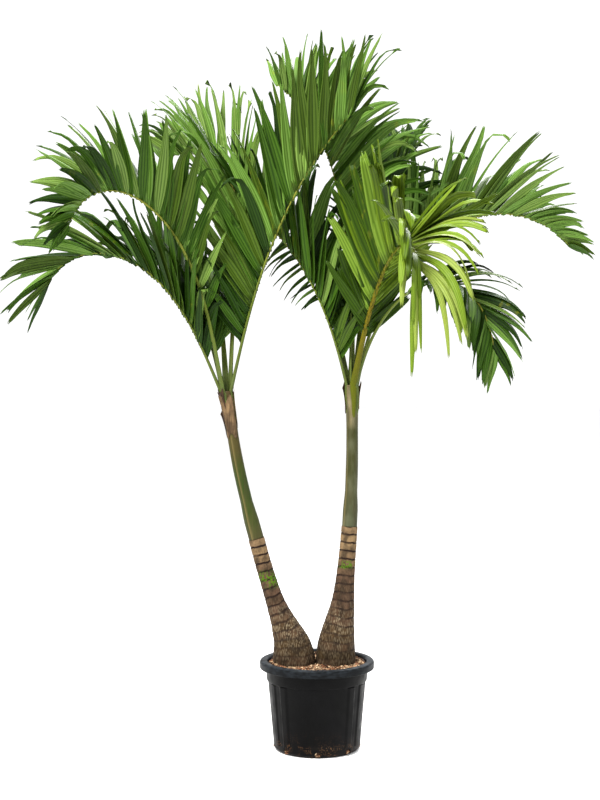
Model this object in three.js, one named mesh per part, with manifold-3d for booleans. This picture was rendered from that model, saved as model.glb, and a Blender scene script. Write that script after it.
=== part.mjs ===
// A potted christmas palm: two ringed stems with green crownshafts and arching feather fronds,
// in potting mix in a black nursery pot. Millimetres, +Z up. The origin is the centre of the
// pot's underside, the plant's front looks along -Y, and its left stem leans towards -X.
import * as THREE from 'three';
import { mergeVertices } from 'three/addons/utils/BufferGeometryUtils.js';
import Module from 'manifold-3d';

const wasm = await Module();
wasm.setup();

// Sizes of the whole plant
const CLEARANCE = 0.3;
const SMALLEST_DETAIL = 0.3;
const SAME_POINT = 0.001;
const LEAFLET_GAP = 1;

// Sizes of the pot
const POT_HEIGHT = 390;
const POT_WALL = 5;
const POT_SEGMENTS = 36;
const FOOT_RADIUS = 187;
const FOOT_ROUNDING = 12;
const WALL_TOP_RADIUS = 214;
const WALL_TOP_HEIGHT = 300;
const BAND_RADIUS = 221;
const BAND_TOP_HEIGHT = 355;
const LIP_RADIUS = 250;
const LIP_SKIN = 6;
const LIP_ROUNDING = 10;
const BAND_SLANT = 2;
const BAND_STEP = 4;
const RIB_GROUP_ANGLES = [53, 127, 233, 307];
const RIB_OFFSETS = [-9.5, 9.5];
const RIB_WIDTH = 26;
const RIB_STAND = 4;
const RIB_BOTTOM = 34;
const RIB_SUNK = 3;
const DRAIN_COUNT = 8;
const DRAIN_WIDTH = 26;
const DRAIN_HEIGHT = 22;
const DRAIN_SILL = 7;
const DRAIN_CUT_INSIDE = 12;
const DRAIN_CUT_OUTSIDE = 8;

// Sizes of the potting mix
const SOIL_HEIGHT = 372;
const SOIL_EDGE_RISE = 6;
const SOIL_EDGE_WIDTH = 10;

// The stems: the line of each axis, the trunk's swollen and lobed base, and its leaf scars
const TRUNK_SIDES = 14;
const SCAR_COUNT = 11;
const SCAR_STAND = 1.6;
const LAST_SCAR_DROP = 30;
const BASE_STEPS = 6;
const BASE_LOBES = 7;
const BASE_LOBE_DEPTH = 0.07;
const BASE_LOBE_REACH = 90;
const FLARE_POWER = 2;
const LEVEL_REACH = 200;
const SEAM_X = -4;
const SEAM_HEIGHT = 110;
const HALVINGS = 30;
const STEMS = {
  left: {
    line: [
      [-98, 0, SOIL_HEIGHT + CLEARANCE],
      [-110, 0, 465],
      [-137, 2, 531],
      [-170, 3, 610],
      [-220, 5, 760],
      [-262, 4, 910],
      [-337, 2, 1212],
      [-396, 0, 1562],
    ],
    shaftFoot: 918,
    baseRadius: 95,
    neckRadius: 40,
    topRadius: 34,
    flareReach: 172,
    firstScar: 526,
    lobeTurn: 20,
  },
  right: {
    line: [
      [81, 0, SOIL_HEIGHT + CLEARANCE],
      [85, 0, 465],
      [95, -2, 531],
      [109, -3, 610],
      [126, -5, 775],
      [142, -4, 975],
      [153, -2, 1250],
      [152, 0, 1590],
    ],
    shaftFoot: 973,
    baseRadius: 88,
    neckRadius: 52,
    topRadius: 34,
    flareReach: 215,
    firstScar: 584,
    lobeTurn: 4,
  },
};

// The crownshafts' radius along their length: swollen at the foot, slender above
const SHAFT_STEPS = 12;
const SHAFT_PROFILE = [
  [0, 34],
  [0.12, 32.5],
  [0.25, 26.5],
  [0.7, 24.5],
  [0.9, 27],
  [1, 28],
];

// The leaf stalks: they stand in a ring on the crownshaft's flat top and taper to the frond's tip
const STALK_SIDES = 3;
const STALK_STEPS = 16;
const BEND_STEPS = 6;
const STALK_RADII = [
  [0, 7],
  [0.08, 12],
  [0.3, 10],
  [0.6, 6],
  [1, 2.4],
];
const STALK_RING = 20;

// The leaflets: closed three-sided blades, each with a low keel and a slight tilt of its own, so
// that neighbours stand like the slats of a blind. Each fills most of the space to the next one.
const LEAFLET_SIDES = 3;
const LEAFLET_STEPS = 3;
const LEAFLET_WIDTHS = [0.1, 1, 0.85, 0];
const LEAFLET_KEELS = [0.35, 1, 0.8, 0];
const LEAFLET_THICKNESS = 0.013;
const LEAFLET_DROOP = [0.16, 0.16];
const LEAFLET_TILT = 14;
const LEAFLET_WIDTH = 50;
const LEAFLET_FILL = 0.92;
const LEAFLETS_A_ROW = 12;
const ROW_STAGGER = 0.3;
const FIRST_REACH = 0.55;
const EARLY_REACH = 0.95;
const LATE_REACH = 0.8;
const TIP_REACH = 0.35;
const LEAFLET_WOBBLE = 2;
const LENGTH_WOBBLE = 0.06;

// A leaflet that would touch another part is tried again, turned or shorter, before it is left out
const LEAFLET_TRIES = [
  { reach: 1, turn: 0 },
  { reach: 1, turn: 6 },
  { reach: 1, turn: -6 },
  { reach: 0.85, turn: 12 },
  { reach: 0.7, turn: 0 },
  { reach: 0.5, turn: 0 },
  { reach: 0.35, turn: 0 },
];

// The fronds. Angles are in degrees: heading and swing go round +Z from +X, rise is the lean from
// the vertical where the frond starts, arch is how far it bends over, bow how late it does so.
// roll turns the blade round its midrib. slot is where the stalk stands on the crownshaft, bare the
// share without leaflets, and split the station where a strongly bent frond is parted. leaf is the
// longest leaflet. Along the frond, opening is the leaflets' angle from the midrib, and vee how
// steeply the two rows stand up. droop is how far leaflets bend down, and slender the share of the
// usual leaflet width. seed starts the frond's own small differences between leaflets.
const FRONDS = [
  {
    name: 'frond_left_arch', stem: 'left', slot: 180, seed: 1,
    heading: 180, swing: -14, rise: 23, arch: 132, bow: 2.4, length: 1150,
    bare: 0.13, split: 10,
    leaf: 470, tipReach: 0.6, vee: [58, 28], opening: [38, 26],
  },
  {
    name: 'frond_left_front', stem: 'left', slot: 235, seed: 2,
    heading: 205, swing: 34, rise: 11, arch: 150, bow: 2.3, length: 1440,
    bare: 0.25, split: 11,
    leaf: 460, tipReach: 0.35, vee: [62, 76], opening: [36, 46, 50, 30],
  },
  {
    name: 'frond_left_inner', stem: 'left', slot: -15, seed: 3,
    heading: -8, swing: -40, rise: 13, arch: 45, bow: 1.9, length: 1340,
    bare: 0.15,
    leaf: 540, lateReach: 1, tipReach: 0.75, vee: [66, 66], opening: [50, 40, 28],
  },
  {
    name: 'frond_left_back', stem: 'left', slot: 38, seed: 4,
    heading: 45, swing: 105, rise: 3, arch: 100, bow: 1.8, length: 1600, roll: -18,
    bare: 0.24, split: 11,
    leaf: 490, vee: [64, 70], opening: [38, 60],
  },
  {
    name: 'frond_left_side', stem: 'left', slot: 130, seed: 5,
    heading: 142, swing: 10, rise: 16, arch: 84, bow: 1.8, length: 960,
    bare: 0.16, split: 10, leaflets: 9,
    leaf: 330, vee: [50, 40], opening: [36, 28],
  },
  {
    name: 'frond_left_rear', stem: 'left', slot: 88, seed: 6,
    heading: 100, swing: 0, rise: 24, arch: 100, bow: 1.7, length: 1100,
    bare: 0.22, split: 10, leaflets: 9,
    leaf: 380, vee: [50, 40], opening: [44, 34],
  },
  {
    name: 'frond_right_inner', stem: 'right', slot: 180, seed: 7,
    heading: 172, swing: -42, rise: 14, arch: 70, bow: 1.6, length: 1200,
    bare: 0.09,
    leaf: 520, vee: [64, 60], opening: [50, 42],
  },
  {
    name: 'frond_right_upright', stem: 'right', slot: 120, core: true, seed: 8,
    heading: 165, swing: 0, rise: 1, arch: 52, bow: 2.85, length: 1400,
    bare: 0.25,
    leaf: 585, tipReach: 0.3, vee: [58, 58], opening: [56, 68, 70, 36],
  },
  {
    name: 'frond_right_front', stem: 'right', slot: 285, seed: 9,
    heading: -60, swing: -25, rise: 21, arch: 120, bow: 1.87, length: 1160, roll: -18,
    bare: 0.2, split: 11, leaflets: 17, finish: 'paleFrond',
    leaf: 500, tipReach: 1.0, vee: [45, 55, 45], opening: [46, 52, 56, 50, 24],
    droop: [0.04, 0.06, 0.1, 0.4, 1.2],
  },
  {
    name: 'frond_right_arch', stem: 'right', slot: 10, seed: 10,
    heading: 12, swing: 12, rise: 12, arch: 121, bow: 1.53, length: 1500,
    bare: 0.25, split: 10,
    leaf: 570, lateReach: 0.47, tipReach: 0.3, vee: [66, 60], opening: [50, 42, 28],
  },
  {
    name: 'frond_right_droop', stem: 'right', slot: 328, seed: 11,
    heading: -40, swing: -29, rise: 16, arch: 146, bow: 1.24, length: 1230, roll: 22,
    bare: 0.4, split: 10,
    leaf: 355, tipReach: 0.55, vee: [20, 5], opening: [42, 22], droop: [0.4, 0.4],
  },
  {
    name: 'frond_right_back', stem: 'right', slot: 56, seed: 12,
    heading: 52, swing: 8, rise: 9, arch: 48, bow: 2, length: 1300,
    bare: 0.2,
    leaf: 360, vee: [50, 40], opening: [42, 34],
  },
  {
    name: 'frond_right_hanging', stem: 'right', slot: 145, seed: 13,
    heading: 137, swing: -36, rise: 10, arch: 63, bow: 1, length: 1100,
    bare: 0.38, leaflets: 8,
    leaf: 250, vee: [-25, -25], opening: [112, 100], droop: [0.3, 0.3], slender: 0.5,
  },
  {
    name: 'frond_right_rear', stem: 'right', slot: 98, seed: 14,
    heading: 85, swing: 0, rise: 24, arch: 100, bow: 1.7, length: 1100,
    bare: 0.2, split: 10, leaflets: 9,
    leaf: 380, vee: [50, 40], opening: [44, 34],
  },
];

// Colours and finishes
const MATERIALS = {
  pot: { color: 0x1d1f22, roughness: 0.55, metalness: 0 },
  soil: { color: 0x6e4a35, roughness: 1, metalness: 0 },
  trunk: { color: 0x8a7358, roughness: 0.85, metalness: 0 },
  shaft: { color: 0x6d7d45, roughness: 0.6, metalness: 0 },
  frond: { color: 0x4f7f2c, roughness: 0.5, metalness: 0 },
  paleFrond: { color: 0x8aa63c, roughness: 0.5, metalness: 0 },
};

const palm = new THREE.Group();
const placed = [];

// Helpers for numbers and directions
function seededRandom(seed) {
  let state = seed;
  return () => {
    state = (state * 16807) % 2147483647;
    return state / 2147483647;
  };
}

function vector(list) {
  return new THREE.Vector3(...list);
}

function radians(degrees) {
  return THREE.MathUtils.degToRad(degrees);
}

// The value at a share along a list of evenly spaced values.
function blend(values, share) {
  const place = share * (values.length - 1);
  const index = Math.min(Math.floor(place), values.length - 2);
  return THREE.MathUtils.lerp(values[index], values[index + 1], place - index);
}

// The value at a share between the stations of a profile of [share, value] pairs.
function profileValue(profile, share) {
  const next = profile.findIndex(([end]) => end >= share);
  if (next <= 0) {
    return profile[0][1];
  }
  const [a, low] = profile[next - 1];
  const [b, high] = profile[next];
  return low + ((high - low) * (share - a)) / (b - a);
}

// Helpers for solids
function closedSolid(corners, faces) {
  return new wasm.Manifold(
    new wasm.Mesh({
      numProp: 3,
      vertProperties: new Float32Array(corners),
      triVerts: new Uint32Array(faces.flat()),
    }),
  );
}

function solidFrom(geometry) {
  const bare = geometry.clone();
  bare.deleteAttribute('normal');
  bare.deleteAttribute('uv');
  const merged = mergeVertices(bare, SAME_POINT);
  return closedSolid(merged.attributes.position.array, [[...merged.index.array]]);
}

// The two ends of each edge shorter than the smallest detail become one corner, so that a solid
// keeps no sliver faces.
function withoutSlivers(solid) {
  const mesh = solid.asOriginal().simplify(SMALLEST_DETAIL).getMesh();
  const position = new THREE.BufferAttribute(mesh.vertProperties, 3);
  const corners = [];
  for (let i = 0; i < position.count; i++) {
    corners.push(new THREE.Vector3().fromBufferAttribute(position, i));
  }
  const merged = corners.map((_, i) => i);
  const keptCorner = (i) => (merged[i] === i ? i : keptCorner(merged[i]));
  const triangles = [];
  for (let i = 0; i < mesh.triVerts.length; i += 3) {
    triangles.push([...mesh.triVerts.slice(i, i + 3)]);
  }
  for (const [a, b, c] of triangles) {
    for (const pair of [[a, b], [b, c], [c, a]]) {
      const [one, other] = pair.map(keptCorner);
      if (one !== other && corners[one].distanceTo(corners[other]) < SMALLEST_DETAIL) {
        merged[Math.max(one, other)] = Math.min(one, other);
      }
    }
  }
  const faces = triangles.map((face) => face.map(keptCorner));
  return closedSolid(
    mesh.vertProperties,
    faces.filter((face) => new Set(face).size === 3),
  );
}

function geometryFrom(solid) {
  const mesh = solid.getMesh();
  const geometry = new THREE.BufferGeometry();
  geometry.setAttribute('position', new THREE.BufferAttribute(mesh.vertProperties, 3));
  geometry.setIndex(new THREE.BufferAttribute(mesh.triVerts, 1));
  geometry.computeVertexNormals();
  return geometry;
}

function addNode(name, solid, material) {
  const mesh = new THREE.Mesh(geometryFrom(solid), new THREE.MeshStandardMaterial(material));
  mesh.name = name;
  palm.add(mesh);
  placed.push(solid);
}

// A closed body through a row of rings: a cylinder, or a cone for a pointed one, whose vertices
// are moved onto the rings. Each ring has a centre and two radius vectors, side and front.
function bodyThroughRings(rings, sides, pointed) {
  const steps = rings.length - 1;
  const geometry = new THREE.CylinderGeometry(pointed ? 0 : 1, 1, 1, sides, steps);
  const position = geometry.attributes.position;
  const local = new THREE.Vector3();
  for (let i = 0; i < position.count; i++) {
    local.fromBufferAttribute(position, i);
    const ring = rings[Math.round((local.y + 0.5) * steps)];
    const angle = Math.atan2(local.x, local.z);
    const onAxis = Math.hypot(local.x, local.z) < SAME_POINT;
    const reach = onAxis ? 0 : (ring.lobe?.(angle) ?? 1);
    local.copy(ring.centre);
    local.addScaledVector(ring.side, Math.sin(angle) * reach);
    local.addScaledVector(ring.front, Math.cos(angle) * reach);
    position.setXYZ(i, local.x, local.y, local.z);
  }
  return solidFrom(geometry);
}

function boxesTouch(a, b, gap) {
  return [0, 1, 2].every((k) => a.min[k] <= b.max[k] + gap && b.min[k] <= a.max[k] + gap);
}

function isClear(solid, others, gap) {
  const box = solid.boundingBox();
  return others.every(
    (other) => !boxesTouch(box, other.boundingBox(), gap) || solid.minGap(other, 2 * gap) > gap,
  );
}

// A body turned round +Z from a profile of [radius, height] pairs.
function turnedSolid(profile) {
  const points = profile.map(([radius, height]) => new THREE.Vector2(radius, height));
  return solidFrom(new THREE.LatheGeometry(points, POT_SEGMENTS).rotateX(Math.PI / 2));
}

// The pot: a turned wall with a rolled lip, ribs on its outside and drain holes at its foot
function wallRadius(height) {
  return FOOT_RADIUS + ((WALL_TOP_RADIUS - FOOT_RADIUS) * height) / WALL_TOP_HEIGHT;
}

function potShell() {
  const lipInner = BAND_RADIUS - POT_WALL;
  const lipUnderside = POT_HEIGHT - 2 * LIP_SKIN;
  return turnedSolid([
    [0, 0],
    [FOOT_RADIUS - FOOT_ROUNDING, 0],
    [FOOT_RADIUS - FOOT_ROUNDING / 4, FOOT_ROUNDING / 3],
    [wallRadius(FOOT_ROUNDING), FOOT_ROUNDING],
    [WALL_TOP_RADIUS, WALL_TOP_HEIGHT],
    [BAND_RADIUS - BAND_SLANT, WALL_TOP_HEIGHT + BAND_STEP],
    [BAND_RADIUS + BAND_SLANT, lipUnderside],
    [LIP_RADIUS - LIP_SKIN, lipUnderside],
    [LIP_RADIUS - LIP_SKIN / 2, BAND_TOP_HEIGHT],
    [LIP_RADIUS, BAND_TOP_HEIGHT + LIP_SKIN / 3],
    [LIP_RADIUS, POT_HEIGHT - LIP_ROUNDING],
    [LIP_RADIUS - 0.4 * LIP_ROUNDING, POT_HEIGHT - 0.2 * LIP_ROUNDING],
    [LIP_RADIUS - LIP_ROUNDING, POT_HEIGHT],
    [lipInner + LIP_SKIN, POT_HEIGHT],
    [lipInner, POT_HEIGHT - LIP_SKIN],
    [lipInner - BAND_SLANT, WALL_TOP_HEIGHT + LIP_SKIN],
    [WALL_TOP_RADIUS - POT_WALL, WALL_TOP_HEIGHT],
    [wallRadius(FOOT_ROUNDING) - POT_WALL, FOOT_ROUNDING],
    [FOOT_RADIUS - FOOT_ROUNDING, POT_WALL],
    [0, POT_WALL],
  ]);
}

// One rib: a bar with slanted flanks that follows the wall's taper.
function potRib(angle) {
  const outline = new THREE.Shape();
  outline.moveTo(-RIB_WIDTH / 2 - RIB_SUNK, -RIB_SUNK);
  outline.lineTo(RIB_WIDTH / 2 + RIB_SUNK, -RIB_SUNK);
  outline.lineTo(RIB_WIDTH / 2 - RIB_SUNK, RIB_STAND);
  outline.lineTo(-RIB_WIDTH / 2 + RIB_SUNK, RIB_STAND);
  const rise = WALL_TOP_HEIGHT - RIB_BOTTOM;
  const taper = Math.atan2(wallRadius(WALL_TOP_HEIGHT) - wallRadius(RIB_BOTTOM), rise);
  const rib = new THREE.ExtrudeGeometry(outline, {
    depth: rise / Math.cos(taper),
    bevelEnabled: false,
  });
  rib.rotateX(-taper);
  rib.translate(0, wallRadius(RIB_BOTTOM), RIB_BOTTOM);
  rib.rotateZ(Math.PI + radians(angle));
  return solidFrom(rib);
}

// The space of one drain hole: an arch that passes through the wall at the foot.
function drainHole(angle) {
  const half = DRAIN_WIDTH / 2;
  const outline = new THREE.Shape();
  outline.moveTo(-half, DRAIN_SILL);
  outline.lineTo(half, DRAIN_SILL);
  outline.lineTo(half, DRAIN_SILL + DRAIN_HEIGHT - half / 2);
  outline.lineTo(half / 2, DRAIN_SILL + DRAIN_HEIGHT);
  outline.lineTo(-half / 2, DRAIN_SILL + DRAIN_HEIGHT);
  outline.lineTo(-half, DRAIN_SILL + DRAIN_HEIGHT - half / 2);
  const hole = new THREE.ExtrudeGeometry(outline, {
    depth: DRAIN_CUT_INSIDE + DRAIN_CUT_OUTSIDE,
    bevelEnabled: false,
  });
  hole.rotateX(Math.PI / 2);
  hole.translate(0, DRAIN_CUT_INSIDE - FOOT_RADIUS, 0);
  hole.rotateZ(radians(angle));
  return solidFrom(hole);
}

function buildPot() {
  let pot = potShell();
  for (const group of RIB_GROUP_ANGLES) {
    for (const offset of RIB_OFFSETS) {
      pot = pot.add(potRib(group + offset));
    }
  }
  for (let i = 0; i < DRAIN_COUNT; i++) {
    pot = pot.subtract(drainHole((360 * i) / DRAIN_COUNT));
  }
  addNode('pot', pot, MATERIALS.pot);
}

// The potting mix: a turned fill that stays clear of the wall and rises a little at its edge
function buildSoil() {
  const clear = POT_WALL + 2 * CLEARANCE;
  const topRadius = BAND_RADIUS - BAND_SLANT - clear;
  const edgeHeight = SOIL_HEIGHT + SOIL_EDGE_RISE;
  const soil = turnedSolid([
    [0, POT_WALL + CLEARANCE],
    [FOOT_RADIUS - FOOT_ROUNDING - 2 * CLEARANCE, POT_WALL + CLEARANCE],
    [wallRadius(FOOT_ROUNDING) - clear, FOOT_ROUNDING],
    [WALL_TOP_RADIUS - clear, WALL_TOP_HEIGHT],
    [topRadius, WALL_TOP_HEIGHT + 2 * BAND_STEP],
    [topRadius, edgeHeight],
    [topRadius - SOIL_EDGE_WIDTH, edgeHeight],
    [topRadius - 2 * SOIL_EDGE_WIDTH, SOIL_HEIGHT],
    [0, SOIL_HEIGHT],
  ]);
  addNode('potting_mix', soil, MATERIALS.soil);
}

// Stems
function stemLine(stem) {
  return new THREE.CatmullRomCurve3(stem.line.map(vector), false, 'centripetal');
}

// The share of a stem's curve at a height, found by halving.
function shareAtHeight(line, height) {
  let low = 0;
  let high = 1;
  for (let i = 0; i < HALVINGS; i++) {
    const middle = (low + high) / 2;
    if (line.getPoint(middle).z < height) {
      low = middle;
    } else {
      high = middle;
    }
  }
  return (low + high) / 2;
}

// A ring round the stem. squareness tells how far it turns from level to square to the stem.
function stemRing(line, share, radius, squareness) {
  const along = new THREE.Vector3(0, 0, 1).lerp(line.getTangent(share), squareness).normalize();
  const front = new THREE.Vector3(0, -1, 0).addScaledVector(along, along.y).normalize();
  const side = new THREE.Vector3().crossVectors(along, front);
  return {
    centre: line.getPoint(share),
    side: side.multiplyScalar(radius),
    front: front.multiplyScalar(radius),
  };
}

// The flare narrows the swollen base to the neck, and above that the trunk tapers evenly.
function trunkRadius(stem, height) {
  const rise = height - SOIL_HEIGHT;
  const taper = rise / (stem.shaftFoot - SOIL_HEIGHT);
  const plain = stem.neckRadius + (stem.topRadius - stem.neckRadius) * Math.sqrt(taper);
  const flare = Math.exp(-((rise / stem.flareReach) ** FLARE_POWER));
  return plain + (stem.baseRadius - plain) * flare;
}

// The space beyond the seam, where the two swollen bases press flat against each other.
function seamSpace(side) {
  const width = 2 * STEMS[side].baseRadius;
  const away = side === 'left' ? 1 : -1;
  const space = new THREE.BoxGeometry(width, 2 * width, 2 * SEAM_HEIGHT);
  space.translate(SEAM_X + (away * (width + CLEARANCE)) / 2, 0, SOIL_HEIGHT);
  return solidFrom(space);
}

function buildTrunk(side) {
  const stem = STEMS[side];
  const line = stemLine(stem);
  const ground = SOIL_HEIGHT + CLEARANCE;
  const rings = [];
  const addRing = (height, stand) => {
    const squareness = Math.min(1, (height - ground) / LEVEL_REACH);
    const lobeShare = Math.exp((SOIL_HEIGHT - height) / BASE_LOBE_REACH) * BASE_LOBE_DEPTH;
    const radius = trunkRadius(stem, height) + stand;
    rings.push({
      ...stemRing(line, shareAtHeight(line, height), radius, squareness),
      lobe: (angle) => {
        const wave = Math.cos(BASE_LOBES * (angle + radians(stem.lobeTurn)));
        return 1 - lobeShare * (0.5 - 0.5 * wave);
      },
    });
  };
  const spacing = (stem.shaftFoot - LAST_SCAR_DROP - stem.firstScar) / (SCAR_COUNT - 1);
  const baseRise = stem.firstScar - spacing / 2 - ground;
  for (let i = 0; i < BASE_STEPS; i++) {
    addRing(ground + (baseRise * i) / (BASE_STEPS - 1), 0);
  }
  for (let i = 0; i < SCAR_COUNT; i++) {
    addRing(stem.firstScar + spacing * i, SCAR_STAND);
    if (i < SCAR_COUNT - 1) {
      addRing(stem.firstScar + spacing * (i + 0.5), 0);
    }
  }
  addRing(stem.shaftFoot, 0);
  const trunk = bodyThroughRings(rings, TRUNK_SIDES).subtract(seamSpace(side));
  addNode('trunk_' + side, trunk, MATERIALS.trunk);
}

function buildShaft(side) {
  const stem = STEMS[side];
  const line = stemLine(stem);
  const foot = shareAtHeight(line, stem.shaftFoot + 2 * CLEARANCE);
  const rings = [];
  for (let i = 0; i <= SHAFT_STEPS; i++) {
    const share = i / SHAFT_STEPS;
    const radius = profileValue(SHAFT_PROFILE, share);
    const squareness = i < SHAFT_STEPS ? 1 : 0;
    rings.push(stemRing(line, foot + (1 - foot) * share, radius, squareness));
  }
  addNode('crownshaft_' + side, bodyThroughRings(rings, TRUNK_SIDES), MATERIALS.shaft);
}

// The midrib of a frond: a line through evenly spaced stations that leans out and bends over
class Midrib extends THREE.Curve {
  constructor(frond) {
    super();
    this.frond = frond;
    const top = vector(STEMS[frond.stem].line.at(-1));
    const out = frond.core ? 0 : STALK_RING;
    const slot = radians(frond.slot);
    const foot = new THREE.Vector3(out * Math.cos(slot), out * Math.sin(slot), CLEARANCE);
    this.stations = [foot.add(top)];
    const steps = STALK_STEPS * BEND_STEPS;
    const point = foot.clone();
    for (let i = 0; i < steps; i++) {
      const { along } = this.frame((i + 0.5) / steps);
      point.addScaledVector(along, frond.length / steps);
      if ((i + 1) % BEND_STEPS === 0) {
        this.stations.push(point.clone());
      }
    }
  }

  getPoint(share, target = new THREE.Vector3()) {
    const place = share * STALK_STEPS;
    const index = Math.min(Math.floor(place), STALK_STEPS - 1);
    return target.lerpVectors(this.stations[index], this.stations[index + 1], place - index);
  }

  // Directions at a share: along the midrib, up from its upper face, and to its side.
  frame(share) {
    const { rise, arch, bow, heading, swing } = this.frond;
    const lean = radians(rise + arch * share ** bow);
    const turn = radians(heading + swing * share);
    const along = new THREE.Vector3(
      Math.sin(lean) * Math.cos(turn),
      Math.sin(lean) * Math.sin(turn),
      Math.cos(lean),
    );
    const up = new THREE.Vector3(
      -Math.cos(lean) * Math.cos(turn),
      -Math.cos(lean) * Math.sin(turn),
      Math.sin(lean),
    );
    up.applyAxisAngle(along, radians(this.frond.roll ?? 0));
    return { along, up, side: new THREE.Vector3().crossVectors(along, up) };
  }

  radius(share) {
    return profileValue(STALK_RADII, share);
  }
}

// The stalk and midrib between two stations. Its foot is cut level, and where the frond is parted
// each piece ends a little short of the station.
function stalkBetween(midrib, first, last) {
  const shortening = CLEARANCE / midrib.frond.length;
  const rings = [];
  for (let i = first; i <= last; i++) {
    const isParting = i > 0 && i < STALK_STEPS && (i === first || i === last);
    const share = i / STALK_STEPS + (isParting ? (i === first ? shortening : -shortening) : 0);
    const { up, side } = midrib.frame(share);
    const ring = {
      centre: midrib.getPoint(share),
      side: side.multiplyScalar(midrib.radius(share)),
      front: up.multiplyScalar(midrib.radius(share)),
    };
    if (i === 0) {
      ring.side.z = 0;
      ring.front.z = 0;
    }
    rings.push(ring);
  }
  return bodyThroughRings(rings, STALK_SIDES);
}

// One leaflet: a blade from the midrib that bends down towards its pointed tip. It keeps the same
// direction across, so that it bends without a twist.
function leafletSolid(root, direction, midribLine, plan, length) {
  const across = midribLine.clone().addScaledVector(direction, -midribLine.dot(direction));
  across.normalize().applyAxisAngle(direction, radians(plan.row * LEAFLET_TILT));
  const sideReach = Math.sin((2 * Math.PI) / LEAFLET_SIDES);
  const frontReach = 1 - Math.cos((2 * Math.PI) / LEAFLET_SIDES);
  const heading = direction.clone();
  const centre = root.clone();
  const rings = [];
  for (let i = 0; i <= LEAFLET_STEPS; i++) {
    const keel = new THREE.Vector3().crossVectors(across, heading).normalize();
    const half = (plan.width * LEAFLET_WIDTHS[i]) / 2;
    const depth = length * LEAFLET_THICKNESS * LEAFLET_KEELS[i];
    rings.push({
      centre: centre.clone(),
      side: across.clone().multiplyScalar(half / sideReach),
      front: keel.multiplyScalar(depth / frontReach),
    });
    centre.addScaledVector(heading, length / LEAFLET_STEPS);
    heading.z -= plan.droop;
    heading.normalize();
  }
  return bodyThroughRings(rings, LEAFLET_SIDES, true);
}

// A leaflet's length along the frond: shorter at both ends of the leafy part.
function leafletReach(frond, share) {
  const late = frond.lateReach ?? LATE_REACH;
  const tip = frond.tipReach ?? TIP_REACH;
  return blend([FIRST_REACH, EARLY_REACH, 1, late, tip], share);
}

// The directions and sizes of all the leaflets of a frond, row by row.
function leafletPlans(frond, random) {
  const plans = [];
  const perRow = frond.leaflets ?? LEAFLETS_A_ROW;
  const spacing = (frond.length * (1 - frond.bare)) / perRow;
  for (let i = 0; i < perRow; i++) {
    for (const row of [-1, 1]) {
      const leafy = (i + 0.5 + ROW_STAGGER * row) / perRow;
      const share = frond.bare + (1 - frond.bare) * leafy;
      const opening = blend(frond.opening, leafy);
      const reach = leafletReach(frond, leafy);
      const fullWidth = LEAFLET_FILL * spacing * Math.sin(radians(opening));
      plans.push({
        share,
        row,
        opening: opening + LEAFLET_WOBBLE * (2 * random() - 1),
        vee: blend(frond.vee, leafy) + LEAFLET_WOBBLE * (2 * random() - 1),
        length: frond.leaf * reach * (1 + LENGTH_WOBBLE * (2 * random() - 1)),
        width: (frond.slender ?? 1) * Math.min(LEAFLET_WIDTH, fullWidth),
        droop: blend(frond.droop ?? LEAFLET_DROOP, leafy),
      });
    }
  }
  return plans;
}

function leafletDirection(frame, opening, vee, row) {
  const out = frame.side.clone().multiplyScalar(row * Math.cos(radians(vee)));
  out.addScaledVector(frame.up, Math.sin(radians(vee)));
  const direction = frame.along.clone().multiplyScalar(Math.cos(radians(opening)));
  return direction.addScaledVector(out, Math.sin(radians(opening)));
}

// The first leaflet of the tries that stays clear of all the other solids, or none.
function fitLeaflet(plan, midrib, others) {
  const frame = midrib.frame(plan.share);
  const root = midrib.getPoint(plan.share);
  for (const { reach, turn } of LEAFLET_TRIES) {
    const direction = leafletDirection(frame, plan.opening + turn, plan.vee, plan.row);
    const blade = leafletSolid(root, direction, frame.along, plan, plan.length * reach);
    if (isClear(blade, others, LEAFLET_GAP)) {
      return blade;
    }
  }
  return null;
}

// The stalks come first, so that every leaflet can keep clear of all of them.
function layStalks() {
  const pieces = [];
  for (const frond of FRONDS) {
    const midrib = new Midrib(frond);
    const spans = frond.split
      ? [
          { name: frond.name + '_stalk', first: 0, last: frond.split },
          { name: frond.name + '_tip', first: frond.split, last: STALK_STEPS },
        ]
      : [{ name: frond.name, first: 0, last: STALK_STEPS }];
    for (const span of spans) {
      const stalk = stalkBetween(midrib, span.first, span.last);
      if (!isClear(stalk, [...placed, ...pieces.map((piece) => piece.solid)], CLEARANCE / 2)) {
        throw new Error('the stalk of ' + span.name + ' touches another solid');
      }
      pieces.push({ frond, midrib, ...span, solid: stalk });
    }
  }
  return pieces;
}

function buildFronds() {
  const pieces = layStalks();
  for (const frond of FRONDS) {
    const random = seededRandom(frond.seed);
    const midrib = pieces.find((piece) => piece.frond === frond).midrib;
    for (const plan of leafletPlans(frond, random)) {
      const station = plan.share * STALK_STEPS;
      const piece = pieces.find(
        (one) => one.frond === frond && station >= one.first && station <= one.last,
      );
      const others = pieces.filter((one) => one !== piece).map((one) => one.solid);
      const blade = fitLeaflet(plan, midrib, [...placed, ...others]);
      if (blade) {
        piece.solid = piece.solid.add(blade);
      }
    }
  }
  for (const piece of pieces) {
    addNode(piece.name, withoutSlivers(piece.solid), MATERIALS[piece.frond.finish ?? 'frond']);
  }
}

buildPot();
buildSoil();
for (const side of Object.keys(STEMS)) {
  buildTrunk(side);
  buildShaft(side);
}
buildFronds();

export default palm;
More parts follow.
